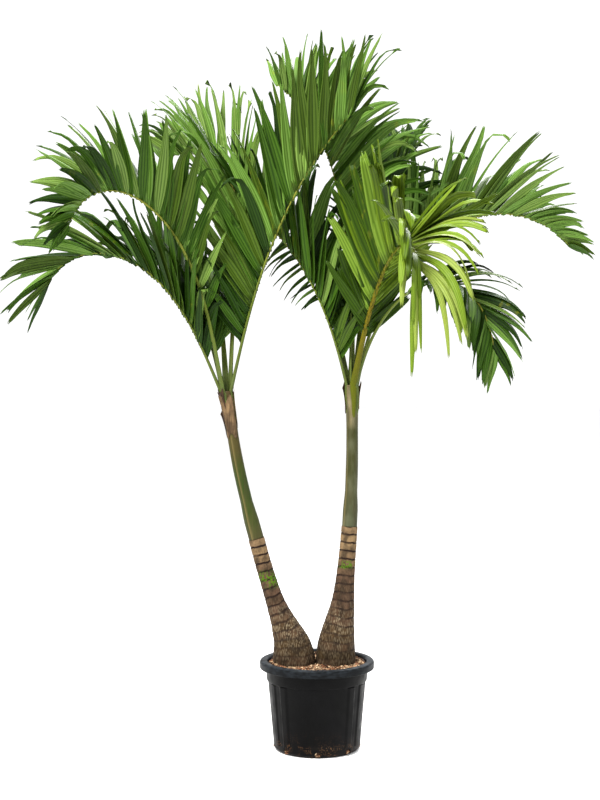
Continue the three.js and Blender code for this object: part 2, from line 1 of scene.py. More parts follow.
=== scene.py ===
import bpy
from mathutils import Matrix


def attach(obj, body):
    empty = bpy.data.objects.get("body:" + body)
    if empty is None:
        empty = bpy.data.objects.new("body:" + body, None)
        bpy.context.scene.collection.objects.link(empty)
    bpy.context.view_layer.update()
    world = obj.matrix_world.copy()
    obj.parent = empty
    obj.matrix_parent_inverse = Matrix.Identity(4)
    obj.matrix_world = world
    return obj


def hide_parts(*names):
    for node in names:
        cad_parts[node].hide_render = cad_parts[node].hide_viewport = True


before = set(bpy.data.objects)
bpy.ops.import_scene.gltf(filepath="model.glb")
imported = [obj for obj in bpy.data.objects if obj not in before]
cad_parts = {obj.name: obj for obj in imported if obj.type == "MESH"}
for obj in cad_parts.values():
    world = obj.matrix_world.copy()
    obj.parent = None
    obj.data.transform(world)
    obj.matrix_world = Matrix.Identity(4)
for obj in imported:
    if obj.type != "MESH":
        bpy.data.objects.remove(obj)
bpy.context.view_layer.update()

from math import cos, exp, pi, radians, sin, sqrt

import bpy
import numpy as np
from mathutils import Vector, noise

# Sizes shared with the solids
CLEARANCE = 0.0003
STEMS = {
    "left": dict(
        line=[
            (-0.098, 0, 0.3723), (-0.110, 0, 0.465), (-0.137, 0.002, 0.531), (-0.170, 0.003, 0.610),
            (-0.220, 0.005, 0.760), (-0.262, 0.004, 0.910), (-0.337, 0.002, 1.212), (-0.396, 0, 1.562),
        ],
        shaft_foot=0.918, base_radius=0.095, neck_radius=0.040, top_radius=0.034,
        flare_reach=0.172, first_scar=0.526, lobe_turn=20, moss=(0.70, 0.79),
        seam=-35, seam_twist=12,
    ),
    "right": dict(
        line=[
            (0.081, 0, 0.3723), (0.085, 0, 0.465), (0.095, -0.002, 0.531), (0.109, -0.003, 0.610),
            (0.126, -0.005, 0.775), (0.142, -0.004, 0.975), (0.153, -0.002, 1.250), (0.152, 0, 1.590),
        ],
        shaft_foot=0.973, base_radius=0.088, neck_radius=0.052, top_radius=0.034,
        flare_reach=0.215, first_scar=0.584, lobe_turn=4, moss=(0.79, 0.83),
        seam=-60, seam_twist=-25,
    ),
}
SCAR_COUNT = 11
LAST_SCAR_DROP = 0.030
FLARE_POWER = 2
LEVEL_REACH = 0.2
BASE_LOBES = 7
BASE_LOBE_DEPTH = 0.07
BASE_LOBE_REACH = 0.090
SEAM_X = -0.004
SEAM_TOP = 0.482
SHAFT_PROFILE = [(0, 0.034), (0.12, 0.0325), (0.25, 0.0265), (0.7, 0.0245), (0.9, 0.027), (1, 0.028)]

# The fronds, in the solids' own terms: angles in degrees, lengths in metres. A frond's name starts
# with the stem that it grows on, and its place in the table is the seed of its leaflets.
STALK_STEPS = 16
BEND_STEPS = 6
STALK_RING = 0.020
ROW_STAGGER = 0.3
FRONDS = {
    "left_arch": dict(
        slot=180, girth=0.8, shades=["shaded", "plain"], heading=180, swing=-14, rise=23, arch=132,
        bow=2.4, length=1.15, bare=0.13, split=10, leaf=0.47, tip_reach=0.6, vee=[58, 28],
        opening=[38, 26], blunt=(0.2, 0.8),
    ),
    "left_front": dict(
        slot=235, girth=1.1, heading=205, swing=34, rise=11, arch=150, bow=2.3, length=1.44, bare=0.25,
        split=11, leaf=0.46, tip_reach=0.35, vee=[62, 76], opening=[36, 46, 50, 30],
    ),
    "left_inner": dict(
        slot=-15, girth=0.85, shades=["shaded", "sunlit"], heading=-8, swing=-40, rise=13, arch=45,
        bow=1.9, length=1.34, bare=0.15, leaf=0.54, late_reach=1, tip_reach=0.75, vee=[66, 66],
        opening=[50, 40, 28],
    ),
    "left_back": dict(
        slot=38, shades=["sunlit", "sunlit"], heading=45, swing=105, rise=3, arch=100, bow=1.8,
        length=1.6, roll=-18, bare=0.24, split=11, leaf=0.49, vee=[64, 70], opening=[38, 60],
    ),
    "left_side": dict(
        slot=130, shades=["shaded", "shaded"], heading=142, swing=10, rise=16, arch=84, bow=1.8,
        length=0.96, bare=0.16, split=10, leaf=0.33, vee=[50, 40], opening=[36, 28],
    ),
    "left_rear": dict(
        slot=88, heading=100, swing=0, rise=24, arch=100, bow=1.7, length=1.1, bare=0.22, split=10,
        leaf=0.38, vee=[50, 40], opening=[44, 34],
    ),
    "right_inner": dict(
        slot=180, girth=0.85, shades=["shaded", "plain"], heading=172, swing=-42, rise=14, arch=70,
        bow=1.6, length=1.2, bare=0.09, leaf=0.52, vee=[64, 60], opening=[50, 42],
    ),
    "right_upright": dict(
        slot=120, core=True, shades=["plain", "sunlit"], heading=165, swing=0, rise=1, arch=52,
        bow=2.85, length=1.4, bare=0.25, leaf=0.585, tip_reach=0.3, vee=[58, 58],
        opening=[56, 68, 70, 36],
    ),
    "right_front": dict(
        slot=285, stand=0.008, tones="young", blunt=(0.4, 1), heading=-60, swing=-25, rise=21, arch=120,
        bow=1.87, length=1.16, roll=-18, bare=0.2, split=11, leaf=0.5, tip_reach=1.0, vee=[45, 55, 45],
        opening=[46, 52, 56, 50, 24], droop=[0.04, 0.06, 0.1, 0.6, 2.2],
        slender=[1.15, 1.2, 1.3, 1.0, 0.45], spacing=0.022,
    ),
    "right_arch": dict(
        slot=10, shades=["sunlit", "sunlit"], heading=12, swing=12, rise=12, arch=121, bow=1.53,
        length=1.5, bare=0.25, split=10, leaf=0.57, late_reach=0.47, tip_reach=0.3, vee=[66, 60],
        opening=[50, 42, 28],
    ),
    "right_droop": dict(
        slot=328, heading=-40, swing=-29, rise=16, arch=146, bow=1.24, length=1.23, roll=22, bare=0.4,
        split=10, leaf=0.355, tip_reach=0.55, vee=[20, 5], opening=[42, 22], droop=[0.4, 0.4],
    ),
    "right_back": dict(
        slot=56, heading=52, swing=8, rise=9, arch=48, bow=2, length=1.3, bare=0.2, leaf=0.36,
        vee=[50, 40], opening=[42, 34],
    ),
    "right_hanging": dict(
        slot=145, heading=137, swing=-36, rise=10, arch=63, bow=1, length=1.1, bare=0.38, leaf=0.25,
        vee=[-25, -25], opening=[112, 100], droop=[0.3, 0.3], slender=[0.35, 0.35],
    ),
    "right_rear": dict(
        slot=98, heading=85, swing=0, rise=24, arch=100, bow=1.7, length=1.1, bare=0.2, split=10,
        leaf=0.38, vee=[50, 40], opening=[44, 34],
    ),
}

# The midribs: half width and half depth along them, and the sheath that runs on down the shaft
RIB_SIDES = 12
RIB_RINGS = 56
RIB_HALF_WIDTHS = [(0, 0.0165), (0.08, 0.0135), (0.25, 0.0098), (0.5, 0.0065), (1, 0.0018)]
RIB_HALF_DEPTHS = [(0, 0.0105), (0.06, 0.0095), (0.2, 0.0075), (0.5, 0.005), (1, 0.0015)]
RIB_FLATNESS = 0.55
CHANNEL_EDGE = 0.9
CHANNEL_DEPTH = 0.3
SHEATH_LENGTH = 0.17
SHEATH_STAND = 0.004
SHEATH_SINK = 0.006
SHEATH_STEPS = 14
SHEATH_NARROWING = 0.75
SHEATH_THINNING = 0.8

# The leaflets: thin pleated blades, folded along the middle, some pointed and some with a ragged end
LEAFLET_SPACING = 0.030
LEAFLET_WIDTH = 0.054
LEAFLET_STEPS = 11
LEAFLET_COLUMNS = 9
LEAFLET_SKIN = 0.0009
LEAFLET_DROOP = [0.16, 0.16]
LEAFLET_TILT = 14
MISSING_SHARE = 0.05
# Leaflets with the paler underside: partly the palm's real colour, partly dealt out as painted highlights
PALE_SHARE = 0.2
HOOKED_SHARE = 0.34
HOOK_START = 0.6
PLEAT_SHARE = 0.055
POINTED_OUTLINE = [
    (0, 0.36), (0.04, 0.52), (0.15, 0.82), (0.35, 1), (0.52, 0.84), (0.68, 0.5), (0.82, 0.26), (1, 0.07),
]
RAGGED_OUTLINE = [
    (0, 0.38), (0.04, 0.55), (0.15, 0.82), (0.35, 1), (0.6, 1), (0.8, 0.86), (0.92, 0.66), (1, 0.5),
]

# The leaflets' tones: chances of deep, mid, bright and blue, and a young frond's tones to its tip
# Painted shade and light: the shaded set deals more deep leaflets, the sunlit set more bright and blue
# ones
TONE_SHARES = {
    "shaded": [0.44, 0.47, 0.05, 0.04],
    "plain": [0.18, 0.52, 0.18, 0.12],
    "sunlit": [0.0, 0.10, 0.54, 0.36],
}
YOUNG_TONES = [-0.4, 0.25, 1.4, 2.0, 2.4]
# Painted light: this step makes a young frond's first row paler and its second darker
YOUNG_ROW_PAINTED_LIGHT = 0.35
YOUNG_SPREAD = 0.45
STRIPE_WAVES = 88.0
PLEAT_WAVES = 25.1
# How dark the painted shade in the leaflets' pleat furrows is, as a share of the dark colour
FURROW_SHADE = 0.7

# The trunks and crownshafts: their grids, their relief in metres and their colours. A scar's humps
# have a height, and a place and a width in shares of the step from scar to scar.
TRUNK_ROWS = 240
TRUNK_COLUMNS = 90
TRUNK_OVERLAP = 0.001
SCAR_HUMPS = [(-0.0016, 0.02, 0.055), (0.0013, 0.15, 0.07), (0.0010, -0.10, 0.06)]
BELLY_HEIGHT = 0.0012
CRACK_DEPTH = 0.0022
CRACK_SHARPNESS = 9
BARK_GRAIN = 0.0008
RING_WANDER = 0.16
DIRECTION_REACH = 0.005
RINGS_BELOW = 40
BARK_COLOURS = [
    (0.37, (42, 31, 15)), (0.50, (58, 44, 24)), (0.64, (68, 50, 36)),
    (0.76, (82, 62, 45)), (0.84, (110, 89, 62)), (0.93, (124, 102, 72)),
]
SHAFT_ROWS = 150
SHAFT_COLUMNS = 72
SHEATH_EDGE = 0.0022
SHAFT_LUMPS = 0.0009
SHAFT_GROOVES = 0.0005
SHAFT_LOOKS = {
    "left": dict(
        blotch=(34, 44, 4), bloomed=(84, 84, 40), bloom_share=0.2,
        colours=[
            (0, (50, 48, 20)), (0.12, (40, 50, 8)), (0.4, (34, 52, 1)), (0.5, (42, 52, 4)),
            (0.6, (60, 54, 18)), (1, (64, 52, 26)),
        ],
    ),
    "right": dict(
        blotch=(34, 38, 10), bloomed=(94, 96, 74), bloom_share=0.35,
        colours=[
            (0, (46, 52, 30)), (0.26, (58, 60, 36)), (0.36, (44, 47, 16)), (0.68, (46, 48, 15)),
            (0.74, (104, 94, 66)), (0.88, (126, 112, 82)), (1, (90, 76, 48)),
        ],
    ),
}

# The dried husks: each one's first angle, its span, its lower and upper height and how far it peels
HUSK_ROWS = 9
HUSK_COLUMNS = 13
HUSK_STAND = 0.0030
HUSK_HALF_SKIN = 0.0006
HUSK_TEAR = 0.012
HUSK_FRAY = 0.008
HUSK_RIPPLE = 0.0015
HUSK_MIDDLE_SHARE = 0.2
HUSKS = {
    "left": [
        (-140, 120, 1.43, 1.56, 0.016), (-60, 100, 1.375, 1.53, 0.010), (-165, 70, 1.37, 1.47, 0.012),
        (60, 110, 1.42, 1.565, 0.012), (150, 90, 1.41, 1.55, 0.014),
    ],
    "right": [
        (-150, 80, 1.48, 1.585, 0.014), (70, 80, 1.50, 1.59, 0.012), (160, 90, 1.47, 1.58, 0.012),
    ],
}
HUSK_SEEDS = {"left": 21, "right": 22}

# The pot and its filling
POT_HEIGHT = 0.390
POT_WALL = 0.005
POT_ROUNDING = 0.006
ROUNDING_STEPS = 4
ROUNDING_LIMIT = 0.45
FOOT_RADIUS = 0.187
FOOT_ROUNDING = 0.012
WALL_TOP_RADIUS = 0.214
WALL_TOP_HEIGHT = 0.300
BAND_RADIUS = 0.221
LIP_BOTTOM = 0.355
LIP_RADIUS = 0.250
LIP_SKIN = 0.006
LIP_EDGE = 0.006
BAND_FLARE = 0.002
POT_SEGMENTS = 288
SHARP_ANGLE = 38
RIB_ANGLES = [53, 127, 233, 307]
RIB_OFFSETS = [-9.5, 9.5]
RIB_HALF_ANGLE = 4.0
RIB_FLANK_ANGLE = 1.6
RIB_STAND = 0.004
RIB_BOTTOM = 0.034
DRAIN_COUNT = 8
DRAIN_WIDTH = 0.026
DRAIN_HEIGHT = 0.022
DRAIN_SILL = 0.007
DRAIN_INWARD = 0.018
DRAIN_OUTWARD = 0.012
DRAIN_ARCH_CORNERS = 13
SOIL_HEIGHT = 0.372
SOIL_EDGE_RISE = 0.006
SOIL_EDGE_START = 0.17
SOIL_EDGE_WIDTH = 0.03
SOIL_LUMPS = [(22, 3.0, 0.005), (60, 9.0, 0.003)]
SOIL_SEGMENTS = 120
SOIL_RINGS = 40
SOIL_TOP_INSET = 0.0095
CHIP_COUNT = 4200
CHIP_SEED = 31
CHIP_SIZES = (0.006, 0.017)
CHIP_SHARES = [0.42, 0.34, 0.24]
CHIP_RINGS = [-1, -0.3, 0.4, 1]
CHIP_WIDTHS = (0.3, 0.65)
CHIP_THICKNESSES = (0.16, 0.34)
CHIP_NARROWINGS = (0.25, 0.7)
CHIP_JITTER = (0.75, 1.15)
CHIP_PITCH = 0.3
CHIP_ROLL = 0.35
CHIP_INSET = 0.018
DRAIN_CHIPS = 14

# The stage, the lights and the camera
FLOOR_REACH = 40
SKY_STRENGTH = 1.15
CROWN_MIDDLE = (0, 0, 1.8)
LIGHTS = [
    dict(name="key", place=(-2.4, -3.4, 6.4), size=2.2, power=900, colour=(1.0, 0.98, 0.94)),
    dict(name="fill", place=(4.0, -3.5, 2.6), size=3.5, power=60, colour=(0.95, 0.98, 1.0)),
    dict(name="back", place=(1.5, 3.5, 5.5), size=3.0, power=500, colour=(1.0, 1.0, 1.0)),
]
CAMERA_PLACE = (-0.074, -6.5, 1.74)
CAMERA_TILT_DOWN = 1.9
CAMERA_LENS = 67.275
CAMERA_SENSOR = 36


def along_profile(profile, share):
    places, values = zip(*profile)
    return np.interp(share, places, values)


def blend(values, share):
    return float(np.interp(share, np.linspace(0, 1, len(values)), values))


def unit(vector):
    return vector / np.linalg.norm(vector)


def turned(vector, axis, angle):
    return (
        vector * cos(angle)
        + np.cross(axis, vector) * sin(angle)
        + axis * np.dot(axis, vector) * (1 - cos(angle))
    )


def linked(name, data):
    made = bpy.data.objects.new(name, data)
    bpy.context.scene.collection.objects.link(made)
    return made


class Shape:
    """Corners, faces, texture places and finish numbers of one piece, gathered part by part."""

    def __init__(self):
        self.corners = []
        self.faces = []
        self.places = []
        self.finishes = []

    def add(self, corners, faces, places=None, finish=0):
        """finish is one number for all the faces, or a list with one for each."""
        first = len(self.corners)
        self.corners.extend(tuple(corner) for corner in corners)
        self.places.extend(places or [(0, 0)] * len(corners))
        self.faces.extend(tuple(first + i for i in face) for face in faces)
        self.finishes.extend(finish if isinstance(finish, list) else [finish] * len(faces))

    def tube(self, rings, places=None, finish=0):
        """Rings of corners, one after the other, with a cap at each end."""
        rings = np.array(rings)
        count, sides = rings.shape[:2]
        faces = [tuple(reversed(range(sides))), tuple(range((count - 1) * sides, count * sides))]
        for i in range(count - 1):
            for j in range(sides):
                a = i * sides + j
                b = i * sides + (j + 1) % sides
                faces.append((a, b, b + sides, a + sides))
        self.add(rings.reshape(-1, 3), faces, places, finish)

    def object(self, name, finishes, nodes, slot, smooth=True):
        mesh = bpy.data.meshes.new(name)
        mesh.from_pydata(self.corners, [], self.faces)
        layer = mesh.uv_layers.new(name="UVMap")
        loops = np.zeros(len(mesh.loops), dtype=np.int32)
        mesh.loops.foreach_get("vertex_index", loops)
        layer.data.foreach_set("uv", np.array(self.places, dtype=np.float32)[loops].ravel())
        for finish in finishes:
            mesh.materials.append(finish.material)
        mesh.polygons.foreach_set("material_index", np.array(self.finishes, dtype=np.int32))
        mesh.polygons.foreach_set("use_smooth", [smooth] * len(mesh.polygons))
        mesh.update()
        piece = linked(name, mesh)
        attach(piece, "root")
        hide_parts(*nodes)
        return piece


def sheet_faces(rows, columns):
    """The faces of a thin sheet of corners, row by row: its top, its underside and its edge."""
    below = rows * columns
    top = []
    for i in range(rows - 1):
        for j in range(columns - 1):
            a = i * columns + j
            top.append((a, a + 1, a + columns + 1, a + columns))
    bottom = [tuple(below + k for k in reversed(face)) for face in top]
    rim = [i * columns for i in range(rows)]
    rim += [(rows - 1) * columns + j for j in range(1, columns)]
    rim += [i * columns + columns - 1 for i in reversed(range(rows - 1))]
    rim += reversed(range(1, columns - 1))
    edge = [(a, b, below + b, below + a) for a, b in zip(rim, rim[1:] + rim[:1])]
    return top, bottom, edge


def round_noise(angle, height, scale, rise, shift=0):
    """Smooth noise round a stem, with its scale around the stem and its scale upwards."""
    return noise.noise(Vector((cos(angle) * scale, sin(angle) * scale, height * rise + shift)))


class Finish:
    """A material, with short calls that add the nodes of its colour, gloss and relief."""

    def __init__(self, name, roughness=0.5, specular=0.5):
        self.material = bpy.data.materials.new(name)
        self.material.use_nodes = True
        self.tree = self.material.node_tree
        self.shader = self.tree.nodes["Principled BSDF"]
        self.shader.inputs["Roughness"].default_value = roughness
        self.shader.inputs["Specular IOR Level"].default_value = specular
        self.coordinates = self.node("ShaderNodeTexCoord")
        self.colour = None

    def node(self, kind, inputs=(), **settings):
        made = self.tree.nodes.new(kind)
        for key, value in settings.items():
            setattr(made, key, value)
        for socket, value in dict(inputs).items():
            self.put(value, made.inputs[socket])
        return made

    def put(self, value, socket):
        if isinstance(value, bpy.types.NodeSocket):
            self.tree.links.new(value, socket)
        else:
            socket.default_value = value

    def stretched(self, scale):
        inputs = {"Scale": scale, "Vector": self.coordinates.outputs["Object"]}
        return self.node("ShaderNodeMapping", inputs).outputs["Vector"]

    def noise(self, scale, detail=4, stretch=(1, 1, 1)):
        inputs = {"Vector": self.stretched(stretch), "Scale": scale, "Detail": detail}
        return self.node("ShaderNodeTexNoise", inputs).outputs["Fac"]

    def patches(self, stops, scale, detail=4, stretch=(1, 1, 1)):
        """Grey levels that a noise picks from the stops."""
        return self.ramp(self.noise(scale, detail, stretch), *stops)

    def specks(self, scale, stretch=(1, 1, 1)):
        inputs = {"Vector": self.stretched(stretch), "Scale": scale}
        return self.node("ShaderNodeTexVoronoi", inputs).outputs["Distance"]

    def part(self, source, axis):
        inputs = {"Vector": self.coordinates.outputs[source]}
        return self.node("ShaderNodeSeparateXYZ", inputs).outputs[axis]

    def place(self):
        """The texture place's two numbers, across and along."""
        return self.part("UV", "X"), self.part("UV", "Y")

    def island(self):
        return self.node("ShaderNodeNewGeometry").outputs["Random Per Island"]

    def lot(self, times):
        """A number from 0 to 1 drawn for each island, a new draw for each number of times."""
        return self.math("FRACT", self.times(self.island(), times))

    def height(self):
        return self.part("Object", "Z")

    def math(self, operation, a, b=0.0):
        made = self.node("ShaderNodeMath", operation=operation)
        self.put(a, made.inputs[0])
        self.put(b, made.inputs[1])
        return made.outputs["Value"]

    def plus(self, a, b):
        return self.math("ADD", a, b)

    def times(self, first, *others):
        for other in others:
            first = self.math("MULTIPLY", first, other)
        return first

    def ramp(self, factor, *stops):
        """Screen colours or grey levels at places along the factor."""
        made = self.node("ShaderNodeValToRGB", {"Fac": factor})
        elements = made.color_ramp.elements
        while len(elements) < len(stops):
            elements.new(0.5)
        for element, (place, value) in zip(elements, stops):
            element.position = place
            element.color = linear(value) if isinstance(value, tuple) else (value, value, value, 1)
        return made.outputs["Color"]

    def mix(self, factor, a, b):
        """A mixture of two colours, each a socket or a screen colour."""
        made = self.node("ShaderNodeMix", data_type="RGBA")
        self.put(factor, made.inputs["Factor"])
        self.put(linear(a) if isinstance(a, tuple) else a, made.inputs["A"])
        self.put(linear(b) if isinstance(b, tuple) else b, made.inputs["B"])
        return made.outputs["Result"]

    def base(self, colour):
        self.colour = colour
        self.put(colour, self.shader.inputs["Base Color"])

    def paint(self, mask, colour):
        """Lays a colour over the present one, as far as the mask says."""
        self.base(self.mix(mask, self.colour, colour))

    def roughness(self, socket):
        self.put(socket, self.shader.inputs["Roughness"])

    def bump(self, height, strength, distance):
        inputs = {"Strength": strength, "Distance": distance, "Height": height}
        self.put(self.node("ShaderNodeBump", inputs).outputs["Normal"], self.shader.inputs["Normal"])


def linear(colour):
    """A screen colour, its values from 0 to 255, as linear light with full opacity."""
    shares = [value / 255 for value in colour]
    return (*(c / 12.92 if c <= 0.04045 else ((c + 0.055) / 1.055) ** 2.4 for c in shares), 1)


# The finishes: noise scales are per metre, and every colour is a screen colour
def leaf_finish(name, dark, light, vein):
    look = Finish(name, roughness=0.5, specular=0.09)
    across, along = look.place()
    island = look.island()
    tone = look.plus(look.times(island, 0.6), look.times(look.noise(5), 0.4))
    look.base(look.ramp(tone, (0.15, dark), (0.85, light)))
    stripes = look.math("SINE", look.times(across, STRIPE_WAVES))
    pleats = look.math("SINE", look.times(across, PLEAT_WAVES))
    veined = look.plus(look.times(stripes, 0.1), look.times(pleats, 0.22))
    look.paint(look.plus(veined, 0.2), vein)
    # Painted shade in the furrows between the pleats
    painted_furrow_shade = look.ramp(look.times(pleats, -1.0), (0.35, 0), (1, 0.5))
    look.paint(painted_furrow_shade, tuple(value * FURROW_SHADE for value in dark))
    middle = look.math("ABSOLUTE", look.math("SUBTRACT", across, 0.5))
    look.paint(look.ramp(middle, (0, 0.6), (0.035, 0)), vein)

    # Brown ends on some leaflets
    ragged = look.plus(along, look.times(look.noise(70, 2), 0.16))
    chance = look.ramp(look.lot(7), (0.68, 0), (0.74, 1))
    end = look.ramp(ragged, (1.02, 0), (1.1, 1))
    look.paint(look.times(chance, end), look.mix(island, (84, 78, 26), (64, 46, 24)))

    # Yellow patches on a few
    yellow = look.ramp(look.lot(31), (0.94, 0), (0.98, 0.45))
    spots = look.patches([(0.56, 0), (0.68, 1)], 46, 6, (1, 1, 0.4))
    look.paint(look.times(yellow, spots), (116, 118, 26))
    look.roughness(look.patches([(0.3, 0.36), (0.7, 0.55)], 30, 3))
    relief = look.plus(look.times(stripes, 0.5), look.noise(220, 2, (1, 1, 0.3)))
    look.bump(relief, 0.35, 0.0006)
    return look


def midrib_finish(name, foot, middle, tip, bloomed):
    look = Finish(name, roughness=0.5, specular=0.08)
    _, along = look.place()
    look.base(look.ramp(along, (0, foot), (0.32, middle), (0.65, tip)))
    streaks = look.noise(60, 5, (3, 3, 0.5))
    look.paint(look.ramp(streaks, (0.5, 0), (0.75, 0.4)), (84, 68, 34))
    look.paint(look.patches([(0.5, 0), (0.8, 0.35)], 9, 3), bloomed)
    look.roughness(look.ramp(streaks, (0.3, 0.4), (0.8, 0.62)))
    look.bump(streaks, 0.4, 0.0012)
    return look


def trunk_finish(name, moss_low, moss_high):
    """Bark that pales towards the top, with dark scars and moss between two heights."""
    look = Finish(name, roughness=0.8, specular=0.12)
    _, rings = look.place()
    height = look.height()
    look.base(look.ramp(height, *BARK_COLOURS))
    internode = look.math("SINE", look.times(look.math("FLOOR", rings), 2.3))
    look.paint(look.plus(look.times(internode, 0.14), 0.14), (84, 62, 52))
    mottle = look.noise(34, 8, (1, 1, 0.7))
    look.paint(look.ramp(mottle, (0.38, 0.75), (0.6, 0)), (30, 22, 12))

    # Pale flecks, most of them low on the trunk
    low = look.ramp(height, (0.38, 0.45), (0.47, 0.6), (0.52, 1), (0.58, 1), (0.66, 0.15))
    flecks = look.ramp(look.specks(190, (1, 1, 0.24)), (0.28, 0.85), (0.58, 0))
    pale = look.times(flecks, look.patches([(0.36, 0.25), (0.56, 1)], 26))
    look.paint(look.times(pale, low), (118, 104, 82))

    # Ring scars, clearer higher up
    ragged = look.plus(rings, look.times(look.noise(60, 5), 0.12))
    phase = look.math("FRACT", ragged)
    scar = look.ramp(phase, (0, 1), (0.13, 0.9), (0.19, 0), (0.9, 0), (0.97, 1))
    upper = look.ramp(height, (0.43, 0.35), (0.56, 0.75), (0.76, 1))
    broken = look.patches([(0.3, 0.35), (0.5, 1)], 12)
    look.paint(look.times(scar, upper, broken), (24, 13, 9))

    # A band of moss
    middle = (moss_low + moss_high) / 2
    band = [(moss_low, 0), (middle - 0.01, 1), (middle + 0.01, 1), (moss_high, 0)]
    tufts = look.patches([(0.46, 0), (0.56, 0.95)], 95, 6)
    cushions = look.patches([(0.42, 0), (0.52, 1)], 14, 3)
    look.paint(look.times(tufts, cushions, look.ramp(height, *band)), (66, 96, 10))
    look.roughness(look.ramp(mottle, (0.3, 0.72), (0.7, 0.92)))
    relief = look.plus(look.noise(240, 6, (1, 1, 0.35)), look.times(pale, 0.8))
    look.bump(relief, 0.9, 0.003)
    return look


def shaft_finish(name, colours, blotch, bloomed, bloom_share):
    look = Finish(name, roughness=0.5, specular=0.15)
    around, along = look.place()
    look.base(look.ramp(along, *colours))
    blotches = look.noise(11, 5, (1, 1, 0.35))
    look.paint(look.ramp(blotches, (0.5, 0), (0.62, 0.75)), blotch)
    streaks = look.noise(70, 6, (2.2, 2.2, 0.12))
    look.paint(look.ramp(streaks, (0.35, 0.5), (0.6, 0)), (54, 48, 26))
    look.paint(look.ramp(around, (0, 0.9), (0.03, 0.4), (0.065, 0)), (100, 88, 52))
    bloom = look.patches([(0.46, 0), (0.7, bloom_share)], 26, 7, (1, 1, 0.4))
    look.paint(bloom, bloomed)
    look.roughness(look.ramp(blotches, (0.3, 0.42), (0.7, 0.66)))
    look.bump(streaks, 0.5, 0.0012)
    return look


def husk_finish(name, dark, light):
    look = Finish(name, roughness=0.85, specular=0.2)
    grain = look.noise(110, 6, (2, 2, 0.12))
    look.base(look.ramp(grain, (0.3, dark), (0.7, light)))
    look.paint(look.patches([(0.45, 0), (0.7, 0.7)], 22), (36, 24, 14))
    look.bump(grain, 0.8, 0.002)
    return look


def pot_finish(name):
    """Black plastic with a painted grey-blue sheen on the lip, and grit and dust near the floor."""
    look = Finish(name, roughness=0.45, specular=0.06)
    look.base(look.patches([(0.3, (3, 3, 3)), (0.75, (6, 6, 7))], 7, 5))
    height = look.height()
    # Painted reflection: a grey-blue sheen laid in patches round the lip
    sheen_band = look.ramp(height, (0.352, 0), (0.358, 0.35), (0.380, 0.5), (0.389, 1))
    sheen_patches = look.patches([(0.4, 0.25), (0.62, 1)], 38, 7, (1, 1, 3))
    look.paint(look.times(sheen_band, sheen_patches), (38, 43, 48))
    low = look.ramp(height, (0, 0.9), (0.030, 0.5), (0.046, 1), (0.056, 0.15), (0.12, 0))
    grit = look.ramp(look.specks(170), (0.2, 1), (0.38, 0))
    splashes = look.patches([(0.46, 0), (0.56, 1)], 30, 5)
    look.paint(look.times(grit, splashes, low), (104, 74, 48))
    haze = look.patches([(0.45, 0), (0.8, 0.3)], 16, 6, (1, 1, 0.5))
    look.paint(look.times(haze, low), (48, 42, 36))
    look.paint(look.patches([(0.68, 0), (0.76, 0.4)], 44, 8, (1, 1, 9)), (34, 37, 40))
    look.roughness(look.patches([(0.3, 0.34), (0.7, 0.56)], 24, 6))
    look.bump(look.noise(420, 3), 0.12, 0.0004)
    return look


def bark_finish(name, dark, light):
    look = Finish(name, roughness=0.9, specular=0.2)
    grain = look.noise(120, 6, (1, 0.3, 1))
    tone = look.plus(look.times(grain, 0.6), look.times(look.island(), 0.4))
    look.base(look.ramp(tone, (0.25, dark), (0.8, light)))
    look.bump(grain, 0.8, 0.002)
    return look


def floor_finish(name):
    look = Finish(name, roughness=0.9, specular=0.1)
    look.base(look.patches([(0.3, 0.87), (0.7, 0.88)], 0.8, 3))
    return look


LEAF_TONES = {
    "grown": [
        leaf_finish("leaf_deep", (10, 28, 1), (22, 46, 4), (42, 68, 16)),
        leaf_finish("leaf_mid", (22, 46, 3), (41, 72, 7), (68, 98, 28)),
        leaf_finish("leaf_bright", (50, 82, 14), (82, 117, 40), (112, 141, 70)),
        # The blue tone is a painted bluish sheen
        leaf_finish("leaf_blue_sheen", (48, 74, 20), (86, 116, 42), (122, 144, 74)),
    ],
    "young": [
        leaf_finish("leaf_fresh", (20, 38, 1), (36, 58, 2), (52, 76, 6)),
        leaf_finish("leaf_lime", (42, 64, 1), (70, 94, 5), (90, 110, 18)),
        leaf_finish("leaf_pale", (68, 94, 10), (98, 122, 24), (118, 138, 44)),
        leaf_finish("leaf_straw", (84, 104, 24), (116, 134, 50), (136, 148, 74)),
    ],
}
LEAF_UNDERSIDES = {
    "grown": leaf_finish("leaf_underside", (30, 48, 6), (52, 74, 14), (74, 96, 30)),
    "young": leaf_finish("leaf_underside_young", (62, 90, 12), (90, 116, 30), (110, 132, 50)),
}
MIDRIBS = {
    "grown": midrib_finish("midrib", (68, 80, 36), (80, 94, 30), (116, 118, 42), (96, 108, 70)),
    "young": midrib_finish("midrib_young", (70, 76, 8), (95, 83, 8), (106, 108, 28), (84, 86, 14)),
}
HUSK_FINISHES = [
    husk_finish("husk_brown", (26, 16, 9), (62, 42, 24)),
    husk_finish("husk_tan", (66, 50, 32), (124, 100, 70)),
]
CHIP_FINISHES = [
    bark_finish("chip_red", (82, 52, 34), (146, 100, 70)),
    bark_finish("chip_tan", (124, 98, 72), (200, 174, 140)),
    bark_finish("chip_dark", (34, 21, 13), (72, 47, 30)),
]


